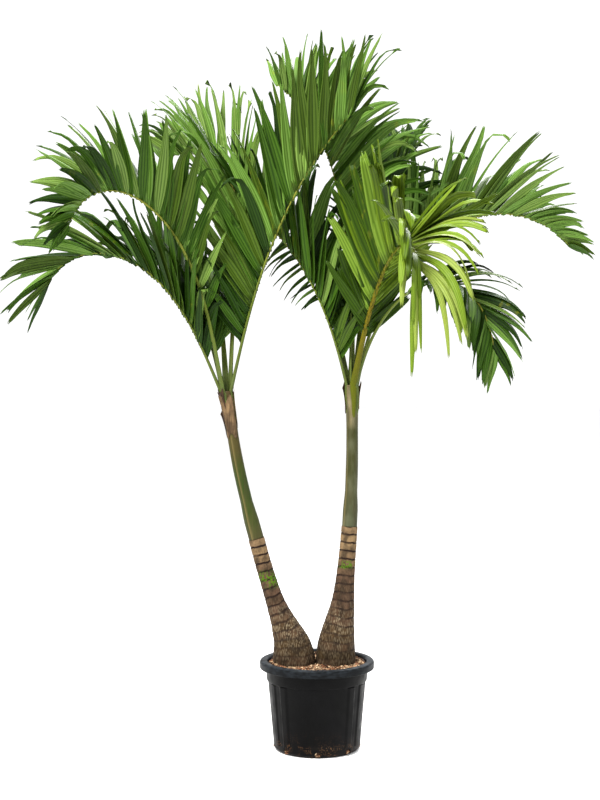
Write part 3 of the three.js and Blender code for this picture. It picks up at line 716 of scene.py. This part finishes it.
class Midrib:
    """The line of a frond's midrib, which leans out from the stem's top and bends over."""

    def __init__(self, stem, frond):
        self.stem = stem
        self.frond = frond
        out = 0 if frond.get("core") else STALK_RING
        slot = radians(frond["slot"])
        self.outward = np.array((cos(slot), sin(slot), 0))
        foot = np.array(STEMS[stem]["line"][-1]) + self.outward * out + (0, 0, CLEARANCE)
        steps = STALK_STEPS * BEND_STEPS
        points = [foot]
        for i in range(steps):
            points.append(points[-1] + self.frame((i + 0.5) / steps)[0] * frond["length"] / steps)
        self.points = np.array(points)

    def point(self, share):
        places = np.linspace(0, 1, len(self.points))
        return np.array([np.interp(share, places, self.points[:, k]) for k in range(3)])

    def frame(self, share):
        """Directions at a share: along the midrib, up from its upper face, and to its side."""
        frond = self.frond
        lean = radians(frond["rise"] + frond["arch"] * share ** frond["bow"])
        turn = radians(frond["heading"] + frond["swing"] * share)
        along = np.array((sin(lean) * cos(turn), sin(lean) * sin(turn), cos(lean)))
        up = np.array((-cos(lean) * cos(turn), -cos(lean) * sin(turn), sin(lean)))
        up = turned(up, along, radians(frond.get("roll", 0)))
        return along, up, np.cross(along, up)


def rib_ring(centre, side, up, half_width, half_depth):
    """One ring of a midrib: rounded below, nearly flat with a shallow channel above."""
    ring = []
    for j in range(RIB_SIDES):
        angle = 2 * pi * j / RIB_SIDES
        lift = sin(angle) * (RIB_FLATNESS if sin(angle) > 0 else 1.0)
        if sin(angle) > CHANNEL_EDGE:
            lift -= CHANNEL_DEPTH
        ring.append(centre + side * half_width * cos(angle) + up * half_depth * lift)
    return ring


def sheath_rings(midrib, girth):
    """The rings below a midrib's foot, which narrow and sink into the crownshaft."""
    foot = midrib.point(0)
    axis = stem_direction(midrib.stem, foot[2] - SHEATH_LENGTH / 2)
    side = unit(np.cross(axis, -midrib.outward))
    stand = midrib.frond.get("stand", SHEATH_STAND)
    rings = []
    for i in range(SHEATH_STEPS):
        left = 1 - i / SHEATH_STEPS
        proud = 4 * stand * left * (1 - left) - SHEATH_SINK * left**2
        centre = foot - axis * SHEATH_LENGTH * left + midrib.outward * proud
        half_width = girth * RIB_HALF_WIDTHS[0][1] * (1 - SHEATH_NARROWING * left)
        half_depth = RIB_HALF_DEPTHS[0][1] * (1 - SHEATH_THINNING * left**2)
        rings.append(rib_ring(centre, side, -midrib.outward, half_width, half_depth))
    return rings


def midrib_shape(midrib, first, last, finish):
    """The tube of a midrib between two shares. One that starts at 0 runs on down the crownshaft."""
    girth = midrib.frond.get("girth", 1)
    rings = []
    if first == 0 and not midrib.frond.get("core"):
        rings = sheath_rings(midrib, girth)
    shares = [0] * len(rings)
    for share in np.linspace(first, last, 2 + round(RIB_RINGS * (last - first))):
        _, up, side = midrib.frame(share)
        half_width = girth * along_profile(RIB_HALF_WIDTHS, share)
        half_depth = along_profile(RIB_HALF_DEPTHS, share)
        rings.append(rib_ring(midrib.point(share), side, up, half_width, half_depth))
        shares.append(share)
    shape = Shape()
    places = [(j / RIB_SIDES, share) for share in shares for j in range(RIB_SIDES)]
    shape.tube(rings, places, finish)
    return shape


def leaflet_reach(frond, share):
    late = frond.get("late_reach", 0.8)
    return blend([0.55, 0.95, 1, late, frond.get("tip_reach", 0.35)], share)


def leaflet_tone(frond, leafy, row, random):
    """Which tone a leaflet takes. Young ones pale towards the tip, and more so in the first row, which is
    painted lighter than the second.
    Grown ones go from the frond's first shade set to its last, which paints shade and light into the
    frond.
    """
    if frond.get("tones") == "young":
        tone = round(blend(YOUNG_TONES, leafy) - YOUNG_ROW_PAINTED_LIGHT * row + random.normal(0, YOUNG_SPREAD))
        return int(np.clip(tone, 0, 3))
    first, last = frond.get("shades", ["plain", "plain"])
    chances = np.array(TONE_SHARES[first]) * (1 - leafy) + np.array(TONE_SHARES[last]) * leafy
    return int(random.choice(len(chances), p=chances))


def leaflet_plans(frond, random):
    """The places, directions and sizes of a frond's leaflets, row by row."""
    per_row = round(frond["length"] * (1 - frond["bare"]) / frond.get("spacing", LEAFLET_SPACING))
    blunt = frond.get("blunt", (0, 0.35))
    plans = []
    for i in range(per_row):
        for row in (-1, 1):
            leafy = (i + 0.5 + ROW_STAGGER * row) / per_row
            reach = leaflet_reach(frond, leafy)
            width = LEAFLET_WIDTH * blend(frond.get("slender", [1, 1]), leafy) * (0.55 + 0.45 * reach)
            missing = random.random() < MISSING_SHARE
            plan = dict(
                share=frond["bare"] + (1 - frond["bare"]) * leafy,
                row=row,
                opening=blend(frond["opening"], leafy) + random.normal(0, 4),
                vee=blend(frond["vee"], leafy) + random.normal(0, 8),
                length=frond["leaf"] * reach * random.uniform(0.86, 1),
                width=width * random.uniform(0.8, 1.1),
                droop=blend(frond.get("droop", LEAFLET_DROOP), leafy) * random.uniform(0.6, 1.5),
                hook=random.uniform(0.8, 3) if random.random() < HOOKED_SHARE else 0,
                swerve=random.normal(0, 0.5),
                tilt=LEAFLET_TILT * row + random.normal(0, 13),
                twist=random.normal(0, 20),
                sickle=random.normal(0.05, 0.08),
                fold=random.uniform(0.2, 0.6),
                tone=leaflet_tone(frond, leafy, row, random),
                pale=random.random() < PALE_SHARE,
                blunt=random.uniform(*blunt),
                jags=random.uniform(0, 0.03, LEAFLET_COLUMNS),
            )
            if not missing:
                plans.append(plan)
    return plans


def leaflet_corners(midrib, plan):
    """The upper and lower corners of one leaflet's blade, row by row from its root."""
    along, up, side = midrib.frame(plan["share"])
    vee = radians(plan["vee"])
    opening = radians(plan["opening"])
    out = side * plan["row"] * cos(vee) + up * sin(vee)
    start = along * cos(opening) + out * sin(opening)
    level = unit(along - start * np.dot(along, start))
    centre = midrib.point(plan["share"])
    columns = np.linspace(-1, 1, LEAFLET_COLUMNS)
    pleats = PLEAT_SHARE * (np.arange(LEAFLET_COLUMNS) % 2)
    upper = []
    lower = []
    for i in range(LEAFLET_STEPS + 1):
        share = i / LEAFLET_STEPS
        fall = 3 * plan["droop"] * share**2 + plan["hook"] * max(0, share - HOOK_START)
        aside = plan["sickle"] * share + plan["swerve"] * max(0, share - HOOK_START)
        heading = unit(start + along * aside - (0, 0, fall))
        across = unit(level - heading * np.dot(level, heading))
        across = turned(across, heading, radians(plan["tilt"] + plan["twist"] * share))
        face = np.cross(across, heading) * -plan["row"]
        pointed = along_profile(POINTED_OUTLINE, share)
        ragged = along_profile(RAGGED_OUTLINE, share)
        half = plan["width"] / 2 * (pointed + (ragged - pointed) * plan["blunt"])
        fold = np.interp(share, [0, 0.12], [0.9, plan["fold"]])
        sunk = half * (fold * np.abs(columns) + pleats)
        blade = centre + np.outer(columns * half, across) - np.outer(sunk, face)
        if i == LEAFLET_STEPS:
            blade = blade - np.outer(plan["jags"], heading)
        upper.extend(blade)
        lower.extend(blade - face * LEAFLET_SKIN)
        centre = centre + heading * plan["length"] / LEAFLET_STEPS
    return upper, lower


def add_leaflet(shape, midrib, plan, pale):
    """Adds one leaflet, with its faces turned the other way round on the second row."""
    upper, lower = leaflet_corners(midrib, plan)
    top, bottom, edge = sheet_faces(LEAFLET_STEPS + 1, LEAFLET_COLUMNS)
    faces = top + bottom + edge
    if plan["row"] > 0:
        faces = [tuple(reversed(face)) for face in faces]
    places = [
        (j / (LEAFLET_COLUMNS - 1), i / LEAFLET_STEPS)
        for i in range(LEAFLET_STEPS + 1)
        for j in range(LEAFLET_COLUMNS)
    ]
    # The paler underside is real colour and also stands in for painted highlights
    underside = pale if plan["pale"] else plan["tone"]
    finishes = [plan["tone"]] * len(top) + [underside] * len(bottom) + [plan["tone"]] * len(edge)
    shape.add(upper + lower, faces, places * 2, finishes)


def build_frond(name, frond, seed):
    midrib = Midrib(name.split("_")[0], frond)
    tones = frond.get("tones", "grown")
    slot = "young_frond" if tones == "young" else "frond"
    finishes = [*LEAF_TONES[tones], LEAF_UNDERSIDES[tones], MIDRIBS[tones]]
    plans = leaflet_plans(frond, np.random.default_rng(seed))
    node = "frond_" + name
    spans = [(node, 0, 1)]
    if "split" in frond:
        parting = frond["split"] / STALK_STEPS
        spans = [(node + "_stalk", 0, parting), (node + "_tip", parting, 1)]
    for node, first, last in spans:
        rib = midrib_shape(midrib, first, last, len(finishes) - 1)
        rib.object(node + "_midrib", finishes, [node], slot)
        blades = Shape()
        for plan in plans:
            if first <= plan["share"] < last or (last == 1 and plan["share"] >= 1):
                add_leaflet(blades, midrib, plan, len(finishes) - 2)
        blades.object(node + "_leaflets", finishes, [node], slot)


# Stems
def stem_point(side, height):
    """The point of a stem's line at a height, on a smooth curve through its given points."""
    line = np.array(STEMS[side]["line"])
    heights = line[:, 2]
    slopes = np.gradient(line, heights, axis=0)
    i = int(np.clip(np.searchsorted(heights, height) - 1, 0, len(line) - 2))
    step = heights[i + 1] - heights[i]
    t = (height - heights[i]) / step
    return (
        (1 + 2 * t) * (1 - t) ** 2 * line[i]
        + t * (1 - t) ** 2 * step * slopes[i]
        + t * t * (3 - 2 * t) * line[i + 1]
        + t * t * (t - 1) * step * slopes[i + 1]
    )


def stem_direction(side, height):
    low = max(height - DIRECTION_REACH, SOIL_HEIGHT)
    return unit(stem_point(side, low + 2 * DIRECTION_REACH) - stem_point(side, low))


def trunk_radius(stem, height):
    rise = height - SOIL_HEIGHT
    taper = max(rise, 0) / (stem["shaft_foot"] - SOIL_HEIGHT)
    plain = stem["neck_radius"] + (stem["top_radius"] - stem["neck_radius"]) * sqrt(taper)
    flare = exp(-((max(rise, 0) / stem["flare_reach"]) ** FLARE_POWER))
    return plain + (stem["base_radius"] - plain) * flare


def scar_place(stem, height):
    """How many scars a height lies above the first scar; negative below it."""
    spacing = (stem["shaft_foot"] - LAST_SCAR_DROP - stem["first_scar"]) / (SCAR_COUNT - 1)
    return (height - stem["first_scar"]) / spacing


def hump(distance, width):
    return exp(-((distance / width) ** 2))


def stem_axes(along):
    """Across a stem and towards its front, both square to its direction."""
    front = unit(np.array((0, -1, 0)) + along * along[1])
    return np.cross(along, front), front


def trunk_relief(place, angle, height):
    """How far the bark stands out from the plain trunk at a point: rings, cracks and lumps."""
    phase = place % 1.0
    near = phase if phase < 0.5 else phase - 1
    upper = float(np.interp(height, [0.46, 0.60], [0.35, 1]))
    lower = float(np.interp(height, [0.5, 0.8], [1, 0.25]))
    ring = sum(rise * hump(near - middle, width) for rise, middle, width in SCAR_HUMPS)
    belly = BELLY_HEIGHT * sin(pi * phase) ** 2
    cracks = max(0, 1 - abs(round_noise(angle, height, 9, 9)) * CRACK_SHARPNESS)
    grain = BARK_GRAIN * round_noise(angle, height, 24, 22, 5)
    return upper * (ring + belly) - CRACK_DEPTH * lower * cracks + grain


def build_trunk(side, finish):
    stem = STEMS[side]
    foot = SOIL_HEIGHT + CLEARANCE
    top = stem["shaft_foot"] + TRUNK_OVERLAP
    rings = []
    places = []
    for i in range(TRUNK_ROWS + 1):
        height = foot + (top - foot) * i / TRUNK_ROWS
        centre = stem_point(side, height)
        lean_share = min(1, (height - foot) / LEVEL_REACH)
        upright = np.array((0, 0, 1)) * (1 - lean_share)
        across, front = stem_axes(unit(stem_direction(side, height) * lean_share + upright))
        radius = trunk_radius(stem, height)
        lobe_share = exp((SOIL_HEIGHT - height) / BASE_LOBE_REACH) * BASE_LOBE_DEPTH
        ring = []
        for j in range(TRUNK_COLUMNS):
            angle = 2 * pi * j / TRUNK_COLUMNS
            wave = cos(BASE_LOBES * (angle + radians(stem["lobe_turn"])))
            wander = RING_WANDER * round_noise(angle, height, 1.5, 4)
            place = scar_place(stem, height) + wander + RINGS_BELOW
            reach = radius * (1 - lobe_share * (0.5 - 0.5 * wave)) + trunk_relief(place, angle, height)
            corner = centre + across * sin(angle) * reach + front * cos(angle) * reach
            if height < SEAM_TOP and side == "left":
                corner[0] = min(corner[0], SEAM_X - CLEARANCE / 2)
            if height < SEAM_TOP and side == "right":
                corner[0] = max(corner[0], SEAM_X + CLEARANCE / 2)
            ring.append(corner)
            places.append((j / TRUNK_COLUMNS, place))
        rings.append(ring)
    shape = Shape()
    shape.tube(rings, places)
    shape.object("bark_" + side, [finish], ["trunk_" + side], "trunk")


def build_shaft(side, finish):
    """The crownshaft: a sheath rolled once round the stem, whose free edge shows as a step."""
    stem = STEMS[side]
    top = stem["line"][-1][2]
    foot = stem["shaft_foot"] + 2 * CLEARANCE
    rings = []
    places = []
    for i in range(SHAFT_ROWS + 1):
        share = i / SHAFT_ROWS
        height = foot + (top - foot) * share
        centre = stem_point(side, height)
        across, front = stem_axes(stem_direction(side, min(height, top - 0.006)))
        radius = along_profile(SHAFT_PROFILE, share)
        seam = radians(stem["seam"] + stem["seam_twist"] * share)
        ring = []
        for j in range(SHAFT_COLUMNS):
            part = j / SHAFT_COLUMNS
            angle = seam + 2 * pi * part
            step = SHEATH_EDGE * part * min(1, share * 6)
            lump = SHAFT_LUMPS * round_noise(angle, height, 2, 7)
            groove = SHAFT_GROOVES * round_noise(angle, height, 16, 2)
            reach = radius + step - SHEATH_EDGE / 2 + lump + groove
            ring.append(centre + across * sin(angle) * reach + front * cos(angle) * reach)
            places.append((part, share))
        rings.append(ring)
    shape = Shape()
    shape.tube(rings, places)
    shape.object("shaft_" + side, [finish], ["crownshaft_" + side], "crownshaft")


def add_husk(shape, side, random, start, span, low, high, peel, finish):
    """One dried scrap of sheath that clings to a crownshaft, with a ragged upper and lower end."""
    shaft_foot = STEMS[side]["shaft_foot"]
    shaft_top = STEMS[side]["line"][-1][2]
    outer = []
    inner = []
    wave = random.uniform(0, 2 * pi)
    for i in range(HUSK_ROWS):
        for j in range(HUSK_COLUMNS):
            part = j / (HUSK_COLUMNS - 1)
            rise = i / (HUSK_ROWS - 1)
            ragged = HUSK_TEAR * sin(9 * part + wave) + HUSK_FRAY * random.random()
            ragged *= 1 if i in (0, HUSK_ROWS - 1) else HUSK_MIDDLE_SHARE
            height = low + (high - low) * rise + (ragged if i else -ragged)
            share = (height - shaft_foot) / (shaft_top - shaft_foot)
            angle = radians(start + span * part + 6 * sin(3 * rise + wave))
            free = peel * rise**2 * abs(2 * part - 1) ** 1.5
            ripple = HUSK_RIPPLE * sin(7 * part + wave)
            reach = along_profile(SHAFT_PROFILE, min(share, 1)) + HUSK_STAND + free + ripple
            centre = stem_point(side, min(height, shaft_top))
            centre[2] = height
            out = np.array((sin(angle), -cos(angle), 0))
            outer.append(centre + out * (reach + HUSK_HALF_SKIN))
            inner.append(centre + out * (reach - HUSK_HALF_SKIN))
    top, bottom, edge = sheet_faces(HUSK_ROWS, HUSK_COLUMNS)
    places = [(j / HUSK_COLUMNS, i / HUSK_ROWS) for i in range(HUSK_ROWS) for j in range(HUSK_COLUMNS)]
    shape.add(outer + inner, top + bottom + edge, places * 2, finish)


def build_husks(side):
    random = np.random.default_rng(HUSK_SEEDS[side])
    shape = Shape()
    for i, (start, span, low, high, peel) in enumerate(HUSKS[side]):
        add_husk(shape, side, random, start, span, low, high, peel, i % len(HUSK_FINISHES))
    shape.object("husk_" + side, HUSK_FINISHES, ["crownshaft_" + side], "crownshaft")


# The pot
def wall_radius(height):
    return FOOT_RADIUS + (WALL_TOP_RADIUS - FOOT_RADIUS) * height / WALL_TOP_HEIGHT


def on_wall(height, inward=0):
    """A point of the wall's slope, or of one further in, as a radius and a height."""
    return wall_radius(height) - inward, height


def rounded(points, radius):
    """The same outline with each inner corner turned into a small arc."""
    points = [np.array(point, dtype=float) for point in points]
    outline = [points[0]]
    for before, corner, after in zip(points, points[1:], points[2:]):
        sides = np.linalg.norm(before - corner), np.linalg.norm(after - corner)
        reach = min(radius, min(sides) * ROUNDING_LIMIT)
        start = corner + unit(before - corner) * reach
        end = corner + unit(after - corner) * reach
        for i in range(ROUNDING_STEPS + 1):
            t = i / ROUNDING_STEPS
            outline.append((1 - t) ** 2 * start + 2 * t * (1 - t) * corner + t * t * end)
    outline.append(points[-1])
    return outline


def pot_outline():
    """Radii and heights from the underside's middle, up the outside and down the inside."""
    lip_inner = BAND_RADIUS - POT_WALL
    return rounded(
        [
            (0, 0), (FOOT_RADIUS - FOOT_ROUNDING, 0), on_wall(FOOT_ROUNDING),
            on_wall(RIB_BOTTOM - 0.004), on_wall(RIB_BOTTOM), on_wall(0.1), on_wall(0.2),
            on_wall(WALL_TOP_HEIGHT - 0.002), (WALL_TOP_RADIUS, WALL_TOP_HEIGHT),
            (BAND_RADIUS - BAND_FLARE, WALL_TOP_HEIGHT + 0.004), (BAND_RADIUS + BAND_FLARE, LIP_BOTTOM),
            (BAND_RADIUS + 0.003, POT_HEIGHT - 2 * LIP_SKIN),
            (LIP_RADIUS - LIP_SKIN, POT_HEIGHT - 2 * LIP_SKIN), (LIP_RADIUS - LIP_SKIN / 2, LIP_BOTTOM),
            (LIP_RADIUS, LIP_BOTTOM + 0.002), (LIP_RADIUS, POT_HEIGHT - LIP_EDGE),
            (LIP_RADIUS - 0.007, POT_HEIGHT), (lip_inner + LIP_EDGE, POT_HEIGHT),
            (lip_inner, POT_HEIGHT - LIP_EDGE), (lip_inner - 0.003, WALL_TOP_HEIGHT + LIP_EDGE),
            (WALL_TOP_RADIUS - POT_WALL, WALL_TOP_HEIGHT),
            on_wall(FOOT_ROUNDING, POT_WALL), (FOOT_RADIUS - FOOT_ROUNDING, POT_WALL),
            (0, POT_WALL),
        ],
        POT_ROUNDING,
    )


def rib_share(angle):
    """How fully a rib stands out at an angle round the pot, from 0 to 1. Angles run from the front."""
    share = 0
    for group in RIB_ANGLES:
        for offset in RIB_OFFSETS:
            away = abs((angle - group - offset + 180) % 360 - 180)
            here = (RIB_HALF_ANGLE + RIB_FLANK_ANGLE - away) / RIB_FLANK_ANGLE
            share = max(share, min(1, max(0, here)))
    return share * share * (3 - 2 * share)


def turned_shape(outline, stand, segments):
    """A closed body turned round +Z from an outline that starts and ends on the axis."""
    inner = outline[1:-1]
    corners = [(0, 0, outline[0][1])]
    for radius, height in inner:
        for j in range(segments):
            angle = 2 * pi * j / segments
            reach = radius + stand(radius, height, angle)
            corners.append((reach * sin(angle), -reach * cos(angle), height))
    corners.append((0, 0, outline[-1][1]))
    faces = []
    for j in range(segments):
        k = (j + 1) % segments
        faces.append((0, 1 + k, 1 + j))
        for i in range(len(inner) - 1):
            a = 1 + i * segments
            b = a + segments
            faces.append((a + j, a + k, b + k, b + j))
        last = 1 + (len(inner) - 1) * segments
        faces.append((last + j, last + k, len(corners) - 1))
    shape = Shape()
    shape.add(corners, faces)
    return shape


def drain_cutters():
    """The spaces of the drain holes, arches that pass through the wall at the foot."""
    half = DRAIN_WIDTH / 2
    spring = DRAIN_SILL + DRAIN_HEIGHT - half
    outline = [(-half, DRAIN_SILL), (half, DRAIN_SILL)]
    for angle in np.linspace(0, pi, DRAIN_ARCH_CORNERS):
        outline.append((half * cos(angle), spring + half * sin(angle)))
    shape = Shape()
    for hole in range(DRAIN_COUNT):
        turn = 2 * pi * hole / DRAIN_COUNT
        rings = [
            [(x * cos(turn) + reach * sin(turn), x * sin(turn) - reach * cos(turn), z) for x, z in outline]
            for reach in (FOOT_RADIUS - DRAIN_INWARD, FOOT_RADIUS + DRAIN_OUTWARD)
        ]
        shape.tube(rings)
    mesh = bpy.data.meshes.new("drain_space")
    mesh.from_pydata(shape.corners, [], shape.faces)
    return linked("drain_space", mesh)


def build_pot(finish):
    def stand(radius, height, angle):
        inside = radius < wall_radius(height) - POT_WALL / 2
        if inside or not RIB_BOTTOM - 0.001 < height < WALL_TOP_HEIGHT - 0.001:
            return 0
        return RIB_STAND * rib_share(np.degrees(angle))

    pot = turned_shape(pot_outline(), stand, POT_SEGMENTS).object("nursery_pot", [finish], ["pot"], "pot")
    cutter = drain_cutters()
    cut = pot.modifiers.new("drain_holes", "BOOLEAN")
    cut.object = cutter
    cut.operation = "DIFFERENCE"
    cut.solver = "EXACT"
    evaluated = pot.evaluated_get(bpy.context.evaluated_depsgraph_get())
    mesh = bpy.data.meshes.new_from_object(evaluated)
    pot.modifiers.clear()
    pot.data = mesh
    mesh.set_sharp_from_angle(angle=radians(SHARP_ANGLE))
    bpy.data.objects.remove(cutter)


def soil_height(x, y):
    lumps = 0
    for scale, level, rise in SOIL_LUMPS:
        lumps += rise * noise.noise(Vector((x * scale, y * scale, level)))
    edge = np.clip((np.hypot(x, y) - SOIL_EDGE_START) / SOIL_EDGE_WIDTH, 0, 1)
    return SOIL_HEIGHT + SOIL_EDGE_RISE * edge + lumps


def build_soil(finish):
    clear = POT_WALL + 2 * CLEARANCE
    top_radius = BAND_RADIUS - SOIL_TOP_INSET
    outline = [
        (0, POT_WALL + CLEARANCE), (FOOT_RADIUS - FOOT_ROUNDING - 0.001, POT_WALL + CLEARANCE),
        on_wall(FOOT_ROUNDING, clear), on_wall(0.03, clear),
        (WALL_TOP_RADIUS - clear, WALL_TOP_HEIGHT), (top_radius, WALL_TOP_HEIGHT + 0.008),
    ]
    outline += [(top_radius * (1 - i / SOIL_RINGS), SOIL_HEIGHT) for i in range(SOIL_RINGS)]
    outline.append((0, SOIL_HEIGHT))
    shape = turned_shape(outline, lambda radius, height, angle: 0, SOIL_SEGMENTS)
    level = SOIL_HEIGHT - 0.001
    shape.corners = [(x, y, soil_height(x, y) if z > level else z) for x, y, z in shape.corners]
    shape.object("mix_fill", [finish], ["potting_mix"], "potting_mix")


def add_chip(shape, random, centre, size):
    """One bark chip: a flat bar with uneven corners, lying at its own angle."""
    finish = int(random.choice(len(CHIP_FINISHES), p=CHIP_SHARES))
    half = size * np.array((random.uniform(*CHIP_WIDTHS), 1, random.uniform(*CHIP_THICKNESSES))) / 2
    corners = []
    for along in CHIP_RINGS:
        narrow = 1 if abs(along) < 1 else random.uniform(*CHIP_NARROWINGS)
        for x, z in [(-1, -1), (1, -1), (1, 1), (-1, 1)]:
            jitter = random.uniform(*CHIP_JITTER, 3)
            corners.append(np.array((x * narrow, along, z * narrow)) * half * jitter)
    turn = random.uniform(0, 2 * pi)
    pitch = random.normal(0, CHIP_PITCH)
    rolled = random.normal(0, CHIP_ROLL)
    for axis, angle in [((1, 0, 0), pitch), ((0, 1, 0), rolled), ((0, 0, 1), turn)]:
        corners = [turned(corner, np.array(axis, dtype=float), angle) for corner in corners]
    shape.tube(np.array(corners).reshape(len(CHIP_RINGS), -1, 3) + centre, finish=finish)


def build_chips():
    """Loose chips all over the mix, and a few that show in each drain hole."""
    random = np.random.default_rng(CHIP_SEED)
    shape = Shape()
    for _ in range(CHIP_COUNT):
        radius = (BAND_RADIUS - CHIP_INSET) * sqrt(random.random())
        angle = random.uniform(0, 2 * pi)
        x = radius * cos(angle)
        y = radius * sin(angle)
        size = random.uniform(*CHIP_SIZES)
        z = soil_height(x, y) + random.uniform(0, 0.004)
        add_chip(shape, random, np.array((x, y, z)), size)
    for hole in range(DRAIN_COUNT):
        for _ in range(DRAIN_CHIPS):
            angle = 2 * pi * hole / DRAIN_COUNT + random.uniform(-0.05, 0.05)
            z = DRAIN_SILL + DRAIN_HEIGHT * random.uniform(0.1, 0.6)
            reach = wall_radius(z) - random.uniform(0.002, 0.007)
            place = np.array((reach * sin(angle), -reach * cos(angle), z))
            add_chip(shape, random, place, random.uniform(*CHIP_SIZES))
    shape.object("bark_chips", CHIP_FINISHES, ["potting_mix"], "potting_mix", smooth=False)


# The stage
def build_floor(finish):
    mesh = bpy.data.meshes.new("floor")
    corners = [(x * FLOOR_REACH, y * FLOOR_REACH, 0) for x, y in [(-1, -1), (1, -1), (1, 1), (-1, 1)]]
    mesh.from_pydata(corners, [], [(0, 1, 2, 3)])
    mesh.materials.append(finish.material)
    floor = linked("floor", mesh)


def add_area_light(name, place, size, power, colour):
    data = bpy.data.lights.new(name, "AREA")
    data.shape = "DISK"
    data.size = size
    data.energy = power
    data.color = colour
    light = linked(name, data)
    light.location = place
    light.rotation_euler = (Vector(CROWN_MIDDLE) - Vector(place)).to_track_quat("-Z", "Y").to_euler()


def build_light():
    world = bpy.data.worlds.new("studio")
    bpy.context.scene.world = world
    world.use_nodes = True
    background = world.node_tree.nodes["Background"]
    background.inputs["Color"].default_value = (1, 1, 1, 1)
    background.inputs["Strength"].default_value = SKY_STRENGTH
    for light in LIGHTS:
        add_area_light(**light)


def build_camera():
    data = bpy.data.cameras.new("camera")
    data.lens = CAMERA_LENS
    data.sensor_width = CAMERA_SENSOR
    camera = linked("camera", data)
    camera.location = CAMERA_PLACE
    camera.rotation_euler = (radians(90 - CAMERA_TILT_DOWN), 0, 0)
    bpy.context.scene.camera = camera


for seed, (name, frond) in enumerate(FRONDS.items(), 1):
    build_frond(name, frond, seed)
for side, stem in STEMS.items():
    build_trunk(side, trunk_finish("bark_" + side, *stem["moss"]))
for side, look in SHAFT_LOOKS.items():
    build_shaft(side, shaft_finish("shaft_" + side, **look))
for side in STEMS:
    build_husks(side)
build_pot(pot_finish("pot_plastic"))
build_soil(bark_finish("mix", (30, 19, 12), (66, 45, 31)))
build_chips()
build_floor(floor_finish("floor"))
build_light()
build_camera()
bpy.context.scene.view_settings.view_transform = "Standard"
